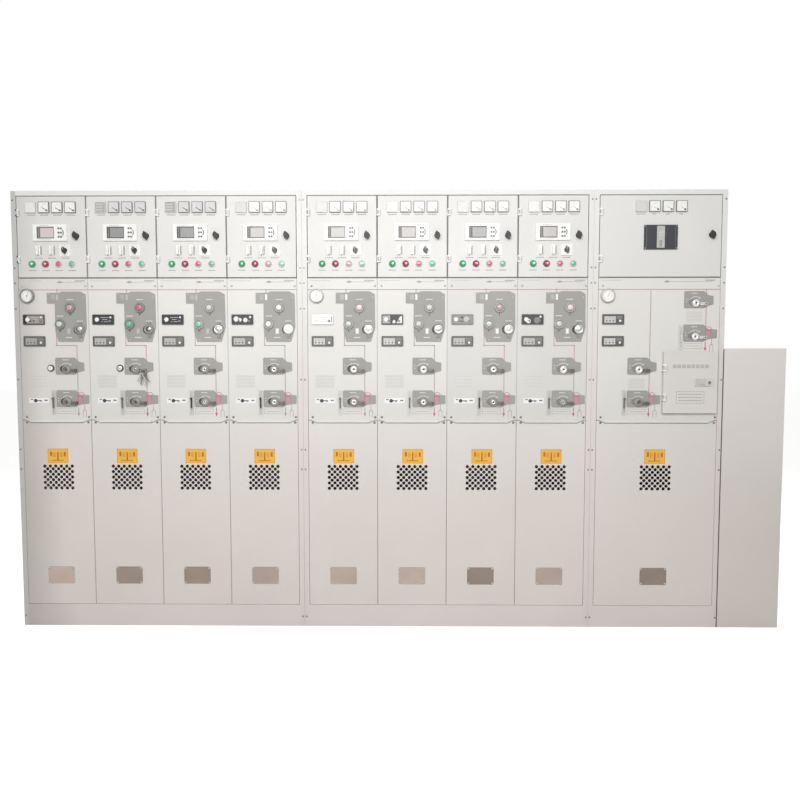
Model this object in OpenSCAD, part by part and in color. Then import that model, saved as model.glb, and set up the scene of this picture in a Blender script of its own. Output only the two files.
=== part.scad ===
// Medium-voltage ring main unit: two four-unit groups, one wide access unit and a low end box in one row.
// Millimetres, +Z up, front towards -Y, origin on the floor under the middle of the bounding box.

/* [Row] */
// Width of one switch unit, from seam to seam
unit_pitch = 375; // [370:5:450]
// Width of the access unit at the right, from seam to seam
access_unit_w = 650; // [640:10:800]
// Depth of the cabinets, front face to rear face
row_depth = 850; // [700:10:1000]
// Visible width of a corner post
post_w = 27; // [24:1:40]
// Depth of a corner post
post_d = 40; // [32:1:60]
// Gap between two bolted groups
group_gap = 0.8; // [0.4:0.1:0.9]
// Thickness of all cabinet sheet metal
sheet_t = 2; // [1.5:0.5:3]

/* [Heights] */
// Height of the plinth
plinth_h = 120; // [100:5:200]
// Height of the cable compartment covers
cable_h = 1005; // [950:5:1200]
// Height of the mechanism panels
mechanism_h = 778; // [778:2:900]
// Height of the low-voltage compartments
lv_h = 437; // [437:1:560]
// Height of the rail over the low-voltage doors
top_rail_h = 25; // [20:1:50]

/* [Panels] */
// Step of the side and rear sheets behind the posts' faces, which their screw heads sit in
outer_step = 5; // [4:0.5:10]
// Gap between neighbouring fixed panels
seam = 4; // [2:0.5:6]
// Depth of the folded edge of a fixed panel
panel_return = 15; // [10:1:25]
// Thickness of the flat bars behind the seams
mullion_t = 3; // [2:0.5:5]
// Width of the flat bars behind the seams
mullion_w = 40; // [30:1:60]
// Width of the flat bars beside the posts
end_bar_w = 10; // [8:1:11]
// Width of the raised ears at the top corners of a cable cover
ear_w = 44; // [36:1:60]
// Height of the raised ears at the top corners of a cable cover
ear_h = 15; // [10:1:25]
// Length of the slope beside a raised ear
ear_run = 34; // [20:1:35]
// Depth of the finger lip along the foot of a mechanism panel
lip_d = 7; // [4:0.5:10]

/* [Cable cover] */
// Diameter of a vent hole
vent_d = 18; // [10:0.5:19]
// Distance between vent holes in a row
vent_pitch = 30; // [28:1:36]
// Vent holes in a long row
vent_columns = 6; // [4:1:8]
// Long rows of vent holes
vent_rows = 5; // [3:1:7]
// Height of the middle of the vents above the foot of the cover
vent_z = 707; // [650:1:800]
// Width of the viewing window
window_w = 146; // [110:1:200]
// Height of the viewing window
window_h = 96; // [70:1:140]
// Corner radius of the viewing window
window_r = 10; // [5:1:20]
// Height of the middle of the window above the foot of the cover
window_z = 163; // [120:1:260]
// Thickness of the window glass
glass_t = 5; // [4:0.5:8]
// Width of the window edge that laps behind the cover
window_lap = 12; // [8:1:20]

/* [Low-voltage doors] */
// Clearance at the hinge edge of a door
door_gap_hinge = 4; // [3:0.5:6]
// Clearance at the lock edge of a door
door_gap_lock = 4; // [3:0.5:10]
// Clearance above and below a door
door_gap_z = 5; // [4:0.5:8]
// Depth of the folded edge of a door
door_return = 20; // [15:1:30]
// Gap between a closed door and the partitions behind it
door_rear_gap = 8; // [6:1:15]
// Depth of the low-voltage compartment
lv_depth = 420; // [300:10:600]
// Distance between neighbouring instruments on a door
instrument_pitch = 71; // [68:1:80]
// Side of the bezel of a panel meter
meter_w = 58; // [50:1:64]
// Depth of a meter's case behind the door
meter_body_d = 42; // [30:1:60]
// How far a meter bezel stands out
meter_proud = 9; // [6:0.5:14]
// Width of the protection relay's face
relay_w = 182; // [150:1:200]
// Height of the protection relay's face
relay_h = 86; // [70:1:110]
// Depth of the relay's case behind the door
relay_body_d = 80; // [50:1:120]
// Diameter of a lamp or push button ring
button_d = 36; // [32:1:42]
// Side of the selector switch plate
selector_w = 58; // [48:1:64]
// How far the door lock handle stands out
lock_proud = 22; // [16:1:40]
// Clearance of an instrument in its cut-out
cutout_clear = 0.5; // [0.3:0.1:1]

/* [Door hinges] */
// Radius of a hinge pin
hinge_pin_r = 2.5; // [2:0.1:4]
// Radial clearance of the pin in the knuckle
hinge_clear = 0.05; // [0.02:0.01:0.1]
// Radius of a door knuckle
knuckle_r = 7; // [4:0.5:8]
// Length of a door knuckle
knuckle_h = 20; // [14:1:40]
// Length of each fixed hinge lug
lug_h = 8; // [6:1:14]
// Distance of the hinge axis from the door's hinge edge
hinge_in = 8; // [7:0.5:12]

/* [Mechanism fronts] */
// Thickness of the grey mimic plates
plate_t = 3; // [2:0.5:5]
// Width of a breaker plate with its tab
breaker_plate_w = 211; // [200:1:240]
// Height of a breaker plate
breaker_plate_h = 269; // [240:1:300]
// Distance from a panel's head to the plates under it
head_margin = 71; // [60:1:90]
// Distance from a breaker plate to the right seam
breaker_plate_in = 11; // [8:1:20]
// Height of a switch plate
switch_plate_h = 91; // [80:1:110]
// Width of a switch plate without its nose
switch_body_w = 105; // [95:1:110]
// Length of a disconnector plate's nose
disconnector_nose = 50; // [40:1:56]
// Length of an earthing plate's nose
earthing_nose = 73; // [60:1:76]
// Outer diameter of a mechanical push button guard
guard_d = 56; // [44:1:62]
// Width of a panel indicator
indicator_w = 116; // [100:1:130]
// Height of a panel indicator
indicator_h = 54; // [45:1:70]
// Diameter of a pressure gauge
gauge_d = 76; // [60:1:90]

/* [Access door] */
// Width of the access door
access_w = 288; // [250:2:290]
// Distance from the access door to the right seam
access_in = 12; // [10:1:30]
// Height of the access door above the foot of its panel
access_z = 55; // [40:1:80]
// Gap between the access door and the plates over it
access_gap = 12; // [8:1:20]
// How far the access door's face stands before its panel
access_proud = 20; // [18:1:30]
// Depth of the folded edge of the access door
access_return = 15; // [10:1:15]
// How far the access door laps over the edge of its opening
access_lap = 16; // [12:1:24]

/* [End box] */
// Width of the low end box
end_box_w = 333; // [250:1:500]
// Height of the low end box
end_box_h = 1527; // [1200:1:2000]

/* [Anchors] */
// Diameter of a floor anchor hole
anchor_d = 14; // [10:1:18]
// Depth of the plinth's foot flange
foot_flange_d = 80; // [70:1:120]
// Depth of the plinth's top flange
top_flange_d = 40; // [30:1:45]
// Distance of an anchor hole from the front or rear face
anchor_in = 60; // [55:1:90]
// Distance of an anchor hole from the side of its group
anchor_side = 150; // [80:5:200]

/* [Hidden] */
$fn = 48;
units_per_group = 4;
group_count = 3;
access_group = 2;
group_units = [units_per_group, units_per_group, 1];
unit_count = 2 * units_per_group + 1;
access_unit = unit_count - 1;

group_w = units_per_group * unit_pitch + 2 * post_w;
access_group_w = access_unit_w + 2 * post_w;
row_w = 2 * (group_w + group_gap) + access_group_w + end_box_w;
hinge_proud = knuckle_r - 1;
front_reach = max(lock_proud, access_proud + hinge_proud + knuckle_r);
front_y = (front_reach - row_depth) / 2;
back_y = front_y + row_depth;

cable_z = plinth_h;
mechanism_z = cable_z + cable_h;
lv_z = mechanism_z + mechanism_h;
rail_z = lv_z + lv_h;
total_h = rail_z + top_rail_h;
roof_z = total_h - sheet_t;
door_z = lv_z + door_gap_z;
door_h = lv_h - 2 * door_gap_z;
door_top = door_z + door_h;
shelf_z = lv_z - sheet_t;

function group_x(g) = -row_w / 2 + g * (group_w + group_gap);
function width_of_group(g) = g == access_group ? access_group_w : group_w;
function group_of(u) = u == access_unit ? access_group : floor(u / units_per_group);
function unit_x(u) = group_x(group_of(u)) + post_w + (u % units_per_group) * unit_pitch;
function unit_w(u) = u == access_unit ? access_unit_w : unit_pitch;
function has_gauge(u) = u % units_per_group == 0;
function has_key_lock(u) = u < 2;
end_box_x = group_x(access_group) + access_group_w;
switch_units = [for (u = [0 : access_unit - 1]) u];

// Instrument places on a door, measured from the door's middle and from its top or foot
meter_drop = 58;
relay_drop = 192;
link_drop = 285;
lamp_up = 70;
lock_drop = 208;
lock_in = 54;
hinge_drop = 86;
hinge_up = 95;
hinge_play = 0.5;
lug_r = hinge_proud - 0.6;
lug_arm_t = 3;
hinge_tab_t = 2;

// Places on a mechanism panel
indicator_x = 81;
fault_indicator_drop = 221;
voltage_indicator_drop = 337;
gauge_x = 50;
gauge_drop = 95;
switch_plate_in = 186;
plate_gap = (mechanism_h - head_margin - breaker_plate_h - 2 * switch_plate_h) / 3;
earthing_plate_z = plate_gap;
disconnector_plate_z = earthing_plate_z + switch_plate_h + plate_gap;
breaker_plate_z = disconnector_plate_z + switch_plate_h + plate_gap;
upper_plate_z = mechanism_h - head_margin - switch_plate_h;
key_lock_gap = 25;
key_lock_up = 34;
lever_plate_w = 22;
lever_plate_h = switch_plate_h + plate_gap / 2;
lever_gap = 4;
access_plate_x = 163;
access_upper_plate_in = 192;

light_grey = [0.83, 0.82, 0.80];
mid_grey = [0.62, 0.61, 0.59];
dark = [0.13, 0.13, 0.14];
steel = [0.72, 0.73, 0.74];

DOORS = [for (u = [0 : access_unit]) str("lv_door_", u + 1)];
FITTINGS = [for (u = [0 : access_unit]) str("lv_fittings_", u + 1)];

// A box between two corners
module block(low, high) {
    translate(low) cube(high - low);
}

// A rectangular tube along Z, open at both ends
module upright_tube(size) {
    difference() {
        cube(size);
        translate([sheet_t, sheet_t, -1]) cube([size.x - 2 * sheet_t, size.y - 2 * sheet_t, size.z + 2]);
    }
}

// A rectangular tube along X, open at both ends
module level_tube(size) {
    difference() {
        cube(size);
        translate([-1, sheet_t, sheet_t]) cube([size.x + 2, size.y - 2 * sheet_t, size.z - 2 * sheet_t]);
    }
}

// A plate in the XZ plane with round corners, its front at y = 0
module round_plate(size, thick, r) {
    translate([r, 0, 0]) cube([size.x - 2 * r, thick, size.y]);
    translate([0, 0, r]) cube([size.x, thick, size.y - 2 * r]);
    for (x = [r, size.x - r], z = [r, size.y - r])
        translate([x, thick, z]) rotate([90, 0, 0]) cylinder(r = r, h = thick);
}

// A disc or boss that stands on the plane y = 0 and points to the front
module boss(r, h) {
    rotate([90, 0, 0]) cylinder(r = r, h = h);
}

// A profile of radius and height turned about a forward axis
module turned(profile) {
    rotate([90, 0, 0]) rotate_extrude() polygon(profile);
}

// A folded sheet tray in the XZ plane, open at the back
module tray(size, depth) {
    difference() {
        cube([size.x, depth, size.y]);
        translate([sheet_t, sheet_t, sheet_t])
            cube([size.x - 2 * sheet_t, depth, size.y - 2 * sheet_t]);
    }
}

// Plinth

// One channel of the plinth with its foot flange towards +Y
module skirt_channel(length) {
    difference() {
        union() {
            cube([length, sheet_t, plinth_h]);
            cube([length, foot_flange_d, sheet_t]);
            translate([0, 0, plinth_h - sheet_t]) cube([length, top_flange_d, sheet_t]);
        }
        for (x = [anchor_side - post_w, length - anchor_side + post_w])
            translate([x, anchor_in, -1]) cylinder(d = anchor_d, h = sheet_t + 2);
    }
}

module plinth_skirts() {
    color(light_grey) for (g = [0 : group_count - 1]) {
        length = width_of_group(g) - 2 * post_w;
        translate([group_x(g) + post_w, front_y, 0]) skirt_channel(length);
        translate([group_x(g) + post_w, back_y, 0]) mirror([0, 1, 0]) skirt_channel(length);
        for (x = [0, width_of_group(g) - sheet_t])
            translate([group_x(g) + x, front_y + post_d, 0])
                cube([sheet_t, row_depth - 2 * post_d, plinth_h]);
    }
}

// Frame and outer sheets

module frame_posts() {
    color(light_grey) for (g = [0 : group_count - 1])
        for (x = [0, width_of_group(g) - post_w], y = [front_y, back_y - post_d])
            translate([group_x(g) + x, y, 0]) upright_tube([post_w, post_d, roof_z]);
}

module top_rails() {
    color(light_grey) for (g = [0 : group_count - 1], y = [front_y, back_y - post_d])
        translate([group_x(g) + post_w, y, rail_z])
            level_tube([width_of_group(g) - 2 * post_w, post_d, roof_z - rail_z]);
}

module roof_panels() {
    color(light_grey) for (g = [0 : group_count - 1])
        translate([group_x(g), front_y, roof_z]) cube([width_of_group(g), row_depth, sheet_t]);
}

module side_panels() {
    color(light_grey) for (g = [0 : group_count - 1])
        for (x = [outer_step, width_of_group(g) - outer_step - sheet_t])
            translate([group_x(g) + x, front_y + post_d, plinth_h])
                cube([sheet_t, row_depth - 2 * post_d, roof_z - plinth_h]);
}

rear_y = back_y - outer_step;

module rear_panels() {
    color(light_grey) for (u = [0 : access_unit])
        translate([unit_x(u) + unit_w(u) - seam / 2, rear_y, cable_z + seam / 2])
            rotate([0, 0, 180]) tray([unit_w(u) - seam, rail_z - cable_z - seam], panel_return);
}

// Flat bars behind the seams, which the panels are screwed to
module mullion_row(g, bar_z, bar_h) {
    inner_w = width_of_group(g) - 2 * post_w;
    for (i = [0 : group_units[g]]) {
        middle = inner_w * i / group_units[g];
        low = i == 0 ? 0 : i == group_units[g] ? inner_w - end_bar_w : middle - mullion_w / 2;
        high = i == 0 ? end_bar_w : i == group_units[g] ? inner_w : middle + mullion_w / 2;
        translate([group_x(g) + post_w + low, 0, bar_z]) cube([high - low, mullion_t, bar_h]);
    }
}

module mullions() {
    color(light_grey) for (g = [0 : group_count - 1]) {
        translate([0, front_y + panel_return, 0]) mullion_row(g, cable_z, shelf_z - cable_z);
        translate([0, rear_y - panel_return - mullion_t, 0]) mullion_row(g, cable_z, rail_z - cable_z);
    }
}

// Inner sheets and tanks

module lv_shelves() {
    color(light_grey) for (g = [0 : group_count - 1])
        block([group_x(g) + post_w, front_y + panel_return, shelf_z],
              [group_x(g) + width_of_group(g) - post_w, rear_y - panel_return - mullion_t, lv_z]);
}

partition_y = front_y + door_return + door_rear_gap;

module lv_partitions() {
    color(light_grey) for (g = [0 : group_count - 2], i = [1 : units_per_group - 1])
        translate([group_x(g) + post_w + i * unit_pitch - sheet_t / 2, partition_y, lv_z])
            cube([sheet_t, lv_depth, rail_z - lv_z]);
}

module lv_back_plates() {
    color(light_grey) for (g = [0 : group_count - 1])
        translate([group_x(g) + post_w, partition_y + lv_depth, lv_z])
            cube([width_of_group(g) - 2 * post_w, sheet_t, roof_z - lv_z]);
}

tank_front_in = 220;
tank_back_in = 60;
tank_side_in = 8;
tank_drop = 760;

module gas_tanks() {
    color(steel) for (g = [0 : group_count - 1])
        block([group_x(g) + post_w + tank_side_in, front_y + tank_front_in, shelf_z - tank_drop],
              [group_x(g) + width_of_group(g) - post_w - tank_side_in, back_y - tank_back_in, shelf_z]);
}

// Mechanism panels

// Outline of a mechanism panel: its foot is cut up at both corners for the cover's ears
module mechanism_outline(w) {
    foot = seam / 2;
    head = mechanism_h - seam / 2;
    polygon([[seam / 2, foot + ear_h], [seam / 2 + ear_w - ear_run, foot + ear_h], [seam / 2 + ear_w, foot],
             [w - seam / 2 - ear_w, foot], [w - seam / 2 - ear_w + ear_run, foot + ear_h],
             [w - seam / 2, foot + ear_h], [w - seam / 2, head], [seam / 2, head]]);
}

// A sheet of the outline with folded sides and head, and a finger lip along its foot
module mechanism_panel(w) {
    translate([0, sheet_t, 0]) rotate([90, 0, 0]) linear_extrude(sheet_t) mechanism_outline(w);
    side_h = mechanism_h - seam - ear_h;
    for (x = [seam / 2, w - seam / 2 - sheet_t])
        translate([x, 0, seam / 2 + ear_h]) cube([sheet_t, panel_return, side_h]);
    translate([seam / 2, 0, mechanism_h - seam / 2 - sheet_t]) cube([w - seam, panel_return, sheet_t]);
    translate([seam / 2 + ear_w, 0, seam / 2]) rotate([90, 0, 90])
        linear_extrude(w - seam - 2 * ear_w)
            polygon([[sheet_t, 0], [sheet_t, 2 * lip_d], [0, 2 * lip_d], [-lip_d, sheet_t], [-lip_d, 0]]);
}

module at_panel(u) {
    translate([unit_x(u), front_y, mechanism_z]) children();
}

module mechanism_panels() {
    color(light_grey) for (u = switch_units) at_panel(u) mechanism_panel(unit_pitch);
}

access_x = access_unit_w - access_in - access_w;
access_h = breaker_plate_z + switch_plate_h - lever_plate_h - access_gap - access_z;
access_opening = [access_w - 2 * access_lap, access_h - 2 * access_lap];

module access_panel() {
    color(light_grey) at_panel(access_unit) difference() {
        union() {
            mechanism_panel(access_unit_w);
            translate([access_x + access_lap - sheet_t, 0, access_z + access_lap - sheet_t])
                cube([access_opening.x + 2 * sheet_t, panel_return, access_opening.y + 2 * sheet_t]);
        }
        translate([access_x + access_lap, -1, access_z + access_lap])
            cube([access_opening.x, panel_return + 2, access_opening.y]);
    }
}

// Cable covers

// Outline of a cable cover with its two raised ears
module cover_outline(w) {
    head = cable_h - seam / 2;
    polygon([[seam / 2, seam / 2], [w - seam / 2, seam / 2], [w - seam / 2, head + ear_h],
             [w - seam / 2 - ear_w + ear_run, head + ear_h], [w - seam / 2 - ear_w, head],
             [seam / 2 + ear_w, head], [seam / 2 + ear_w - ear_run, head + ear_h], [seam / 2, head + ear_h]]);
}

// Staggered vent holes through a cover, about the origin
module vents() {
    for (row = [0 : vent_rows - 1], column = [0 : vent_columns - 1])
        translate([(column - (vent_columns - 1) / 2) * vent_pitch, 0, (row - (vent_rows - 1) / 2) * vent_pitch])
            vent_hole();
    for (row = [0 : vent_rows - 2], column = [0 : vent_columns - 2])
        translate([(column - vent_columns / 2 + 1) * vent_pitch, 0, (row - vent_rows / 2 + 1) * vent_pitch])
            vent_hole();
}

module vent_hole() {
    translate([0, sheet_t + 1, 0]) boss(vent_d / 2, sheet_t + 2);
}

module cable_cover(w) {
    difference() {
        union() {
            translate([0, sheet_t, 0]) rotate([90, 0, 0]) linear_extrude(sheet_t) cover_outline(w);
            for (x = [seam / 2, w - seam / 2 - sheet_t])
                translate([x, 0, seam / 2]) cube([sheet_t, panel_return, cable_h - seam]);
            translate([seam / 2, 0, seam / 2]) cube([w - seam, panel_return, sheet_t]);
        }
        translate([w / 2, 0, vent_z]) vents();
        translate([(w - window_w) / 2, -1, window_z - window_h / 2])
            round_plate([window_w, window_h], sheet_t + 2, window_r);
    }
}

module cable_covers() {
    color(light_grey) for (u = [0 : access_unit])
        translate([unit_x(u), front_y, cable_z]) cable_cover(unit_w(u));
}

module cover_windows() {
    color([0.55, 0.52, 0.48, 0.6]) for (u = [0 : access_unit])
        translate([unit_x(u) + unit_w(u) / 2 - window_w / 2 - window_lap, front_y + sheet_t,
                   cable_z + window_z - window_h / 2 - window_lap])
            round_plate([window_w + 2 * window_lap, window_h + 2 * window_lap], glass_t, window_r);
}

// Mimic plates

breaker_tab_w = 42;
breaker_tab_h = 57;
breaker_tab_drop = 7;
breaker_neck = 65;
breaker_neck_run = 16;
breaker_foot_in = [57, 23];
breaker_foot_h = [53, 75];
breaker_corner = [29, 15];

// L-shaped plate of the circuit breaker mechanism, from its lower left corner
module breaker_plate() {
    w = breaker_plate_w;
    h = breaker_plate_h;
    tab_top = h - breaker_tab_drop;
    rotate([90, 0, 0]) linear_extrude(plate_t)
        polygon([[0, tab_top], [breaker_neck, tab_top], [breaker_neck + breaker_neck_run, h],
                 [w - 2 - breaker_corner.x, h], [w - 2, h - breaker_corner.y], [w, breaker_foot_h.y],
                 [w - breaker_foot_in.y, 0], [breaker_foot_in.x, 0], [breaker_tab_w, breaker_foot_h.x],
                 [breaker_tab_w, tab_top - breaker_tab_h], [0, tab_top - breaker_tab_h]]);
}

breaker_plate_x = unit_pitch - breaker_plate_in - breaker_plate_w;

module at_breaker_plate(u) {
    at_panel(u) translate([breaker_plate_x, 0, breaker_plate_z]) children();
}

module breaker_plates() {
    color(mid_grey) for (u = switch_units) at_breaker_plate(u) breaker_plate();
}

plate_corner = 5;
nose_root = 24;
nose_foot = 20;
nose_head = 27;

// Plate of a disconnector or earthing switch: a square body with a nose to the right
module switch_plate(nose) {
    h = switch_plate_h;
    w = switch_body_w;
    rotate([90, 0, 0]) linear_extrude(plate_t)
        polygon([[0, plate_corner], [plate_corner, 0], [w, 0], [w + nose_root, 0.7 * nose_foot],
                 [w + nose, nose_foot], [w + nose, h - nose_head], [w + nose_root, h - 0.85 * nose_head],
                 [w, h], [plate_corner, h], [0, h - plate_corner]]);
}

// Left foot corners of a unit's disconnector plates
function disconnector_places(u) = u == access_unit
    ? [[access_plate_x, disconnector_plate_z], [access_unit_w - access_upper_plate_in, upper_plate_z]]
    : [[unit_pitch - switch_plate_in, disconnector_plate_z]];

// Left foot corners of a unit's earthing plates
function earthing_places(u) = u == access_unit
    ? [[access_plate_x, earthing_plate_z], [access_unit_w - access_upper_plate_in, breaker_plate_z]]
    : [[unit_pitch - switch_plate_in, earthing_plate_z]];

module at_disconnectors() {
    for (u = [0 : access_unit], place = disconnector_places(u))
        at_panel(u) translate([place.x, 0, place.y]) children();
}

module at_earthing_switches() {
    for (u = [0 : access_unit], place = earthing_places(u))
        at_panel(u) translate([place.x, 0, place.y]) children();
}

module disconnector_plates() {
    color(mid_grey) at_disconnectors() switch_plate(disconnector_nose);
}

module earthing_plates() {
    color(mid_grey) at_earthing_switches() switch_plate(earthing_nose);
}

// Mechanism controls

guard_base = 5;
guard_proud = 12;
guard_wall = 7;
button_cap_r = 14;
button_proud = 18;
padlock_tab_w = 11;
padlock_tab_h = 12;
padlock_tab_t = 5;
tab_root = 2;

// Guarded push button: a flared collar round a domed cap, with a padlock tab under it
module guarded_button() {
    r = guard_d / 2;
    well = guard_base + 1;
    turned([[0, 0], [r, 0], [r, guard_base], [r - guard_wall / 2, guard_proud], [r - guard_wall, guard_proud],
            [r - guard_wall - 3, well], [button_cap_r + 1, well], [button_cap_r, button_proud - 3],
            [button_cap_r - 4, button_proud - 0.5], [0, button_proud]]);
    translate([-padlock_tab_w / 2, -padlock_tab_t, -r - padlock_tab_h + tab_root])
        cube([padlock_tab_w, padlock_tab_t, padlock_tab_h]);
}

close_button_at = [126, 182];
open_button_at = [69, 94];
charging_socket_at = [175, 67];

module breaker_buttons() {
    color(steel) for (u = switch_units, place = [close_button_at, open_button_at])
        at_breaker_plate(u) translate([place.x, -plate_t, place.y]) guarded_button();
}

charging_r = 27;
charging_proud = 14;
charging_well_r = 12;
charging_shaft_r = 9;
hanging_tab = [14, 6, 24];
upper_tab = [18, 5, 18];

// Dished boss, from its outer radius, the radius of its well and its height
module dished_boss(r, well_r, proud) {
    foot = proud * 0.3;
    turned([[0, 0], [r, 0], [r, foot], [r - 5, proud], [well_r + 2, proud], [well_r, foot + 1], [0, foot + 1]]);
}

// Spring charging socket: a dished boss round its six-sided shaft end, with a hanging tab
module charging_socket() {
    dished_boss(charging_r, charging_well_r, charging_proud);
    shaft_end(charging_shaft_r, charging_proud - 2);
    translate([-hanging_tab.x / 2, -hanging_tab.y, 5 - charging_r - hanging_tab.z]) cube(hanging_tab);
    translate([-upper_tab.x / 2, -upper_tab.y, charging_r - 5]) cube(upper_tab);
}

// Six-sided shaft end that a loose handle slips over
module shaft_end(r, h) {
    rotate([90, 0, 0]) cylinder(r = r, h = h, $fn = 6);
}

module charging_sockets() {
    color(steel) for (u = switch_units)
        at_breaker_plate(u) translate([charging_socket_at.x, -plate_t, charging_socket_at.y]) charging_socket();
}

socket_r = 24;
socket_proud = 12;
socket_well_r = 12;
socket_shaft_r = 10;
hasp_at = [50, -6];
hasp_r = 9;
hasp_proud = 14;
hasp_arm_t = 8;

// Operating shaft socket with its padlock hasp to the right
module operating_socket() {
    dished_boss(socket_r, socket_well_r, socket_proud);
    shaft_end(socket_shaft_r, socket_proud - 2);
    translate([socket_r - 3, -hasp_arm_t, hasp_at.y - hasp_r + 1])
        cube([hasp_at.x - socket_r + 3, hasp_arm_t, 2 * hasp_r - 2]);
    translate([hasp_at.x, 0, hasp_at.y]) boss(hasp_r, hasp_proud);
}

socket_at = [60, 28];

module operating_sockets() {
    color(steel) {
        at_disconnectors() translate([socket_at.x, -plate_t, socket_at.y]) operating_socket();
        at_earthing_switches() translate([socket_at.x, -plate_t, socket_at.y]) operating_socket();
    }
}

lever_slot_w = 7;
lever_slot_margin = 14;
lever_proud = 11;
lever_h = 56;
lever_knob_r = 5;
lever_knob_proud = 18;

// Slotted guide plate with its sliding interlock lever
module interlock_lever() {
    w = lever_plate_w;
    h = lever_plate_h;
    difference() {
        rotate([90, 0, 0]) linear_extrude(plate_t) square([w, h]);
        translate([(w - lever_slot_w) / 2, -plate_t - 1, lever_slot_margin])
            cube([lever_slot_w, plate_t, h - 2 * lever_slot_margin]);
    }
    lever_foot = (h - lever_h) / 2;
    translate([(w - lever_slot_w) / 2, -lever_proud, lever_foot]) cube([lever_slot_w, lever_proud, lever_h]);
    translate([w / 2, -lever_proud, lever_foot + lever_h - lever_knob_r])
        boss(lever_knob_r, lever_knob_proud - lever_proud);
}

module interlock_levers() {
    color(dark) at_earthing_switches()
        translate([-lever_plate_w - lever_gap, 0, switch_plate_h - lever_plate_h]) interlock_lever();
}

key_lock_r = 19;
key_lock_proud = 13;
key_lock_face = 9;
key_slot = [2.4, 12];

module key_locks() {
    color(steel) for (u = switch_units) if (has_key_lock(u)) at_panel(u)
        translate([disconnector_places(u)[0].x - key_lock_gap, 0, disconnector_plate_z + key_lock_up])
            difference() {
                turned([[0, 0], [key_lock_r, 0], [key_lock_r, key_lock_face / 2],
                        [key_lock_r - 5, key_lock_proud], [key_lock_face + 1, key_lock_proud],
                        [key_lock_face, key_lock_face], [0, key_lock_face]]);
                translate([-key_slot.x / 2, -key_lock_proud - 1, -key_slot.y / 2])
                    cube([key_slot.x, key_lock_proud - key_lock_face / 2, key_slot.y]);
            }
}

// Indicators and gauges

indicator_proud = 8;
indicator_bezel = 5;
indicator_sunk = 2;
indicator_lamp_r = 4;
indicator_lamp_step = 18;
indicator_lamp_z = -8;
test_button_r = 6;
test_button_in = 22;

// Flush-fronted indicator: a bezel with a sunk face, three lamps and a test button
module panel_indicator() {
    w = indicator_w;
    h = indicator_h;
    bezel = indicator_bezel;
    face_y = indicator_sunk - indicator_proud;
    difference() {
        translate([-w / 2, -indicator_proud, -h / 2]) round_plate([w, h], indicator_proud, bezel - 1);
        translate([bezel - w / 2, -indicator_proud - 1, bezel - h / 2])
            cube([w - 2 * bezel, indicator_sunk + 1, h - 2 * bezel]);
    }
    for (i = [-2 : 0])
        translate([i * indicator_lamp_step, face_y, indicator_lamp_z]) boss(indicator_lamp_r, indicator_sunk + 1);
    translate([w / 2 - test_button_in, face_y, indicator_lamp_z]) boss(test_button_r, 2 * indicator_sunk);
}

module panel_indicators() {
    color(dark) for (u = [0 : access_unit], drop = [fault_indicator_drop, voltage_indicator_drop])
        at_panel(u) translate([indicator_x, 0, mechanism_h - drop]) panel_indicator();
}

gauge_proud = 18;
gauge_wall = 6;
gauge_dial_up = 10;
gauge_hub_r = 3;

module pressure_gauges() {
    r = gauge_d / 2;
    dial_r = r - gauge_wall - 1;
    color(steel) for (u = [0 : access_unit]) if (has_gauge(u)) at_panel(u)
        translate([gauge_x, 0, mechanism_h - gauge_drop])
            turned([[0, 0], [r, 0], [r, gauge_proud - 4], [r - gauge_wall / 2, gauge_proud],
                    [r - gauge_wall, gauge_proud], [dial_r, gauge_dial_up], [gauge_hub_r, gauge_dial_up],
                    [gauge_hub_r, gauge_dial_up + gauge_hub_r], [0, gauge_dial_up + gauge_hub_r]]);
}

// Low-voltage doors

module at_door(u) {
    translate([unit_x(u), front_y, door_z]) children();
}

hinge_axis_x = door_gap_hinge + hinge_in;
hinge_heights = [hinge_up, door_h - hinge_drop];

// Door knuckle about the hinge axis
module knuckle() {
    translate([hinge_axis_x, -hinge_proud, -knuckle_h / 2]) cylinder(r = knuckle_r, h = knuckle_h);
}

module knuckle_bore() {
    translate([hinge_axis_x, -hinge_proud, -knuckle_h / 2 - 1])
        cylinder(r = hinge_pin_r + hinge_clear, h = knuckle_h + 2);
}

// Hinged tray door with its two knuckles, from the seam at its hinge edge
module hinged_leaf(leaf_w, leaf_h, depth, heights) {
    difference() {
        union() {
            translate([door_gap_hinge, 0, 0]) tray([leaf_w, leaf_h], depth);
            for (z = heights) translate([0, 0, z]) knuckle();
        }
        for (z = heights) translate([0, 0, z]) knuckle_bore();
        children();
    }
}

// A cut-out in the door sheet for a rectangular instrument case
module square_cutout(w, h) {
    translate([-w / 2 - cutout_clear, -1, -h / 2 - cutout_clear])
        cube([w + 2 * cutout_clear, sheet_t + 2, h + 2 * cutout_clear]);
}

// A cut-out in the door sheet for a round instrument case
module round_cutout(r) {
    translate([0, sheet_t + 1, 0]) boss(r + cutout_clear, sheet_t + 2);
}

meter_case_w = meter_w - 6;
relay_flange = 7;
relay_case_w = relay_w - 2 * relay_flange;
relay_case_h = relay_h - 2 * relay_flange;
barrel_r = 11;
link_w = 20;
link_h = 52;
link_case_w = 12;
link_case_h = 36;
breaker_frame_w = 176;
breaker_frame_h = 128;
breaker_frame_drop = 220;

meter_places = [for (i = [0 : 3]) [(i - 1.5) * instrument_pitch, door_h - meter_drop]];
lamp_places = [for (i = [0 : 3]) [(i - 1.5) * instrument_pitch, lamp_up]];
link_places = [for (i = [-1 : 0]) [i * instrument_pitch, door_h - link_drop]];
selector_place = [instrument_pitch, door_h - link_drop];
relay_shift = -4;
relay_place = [relay_shift, door_h - relay_drop];

module at_middle(u, place) {
    translate([unit_w(u) / 2 + place.x, 0, place.y]) children();
}

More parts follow.
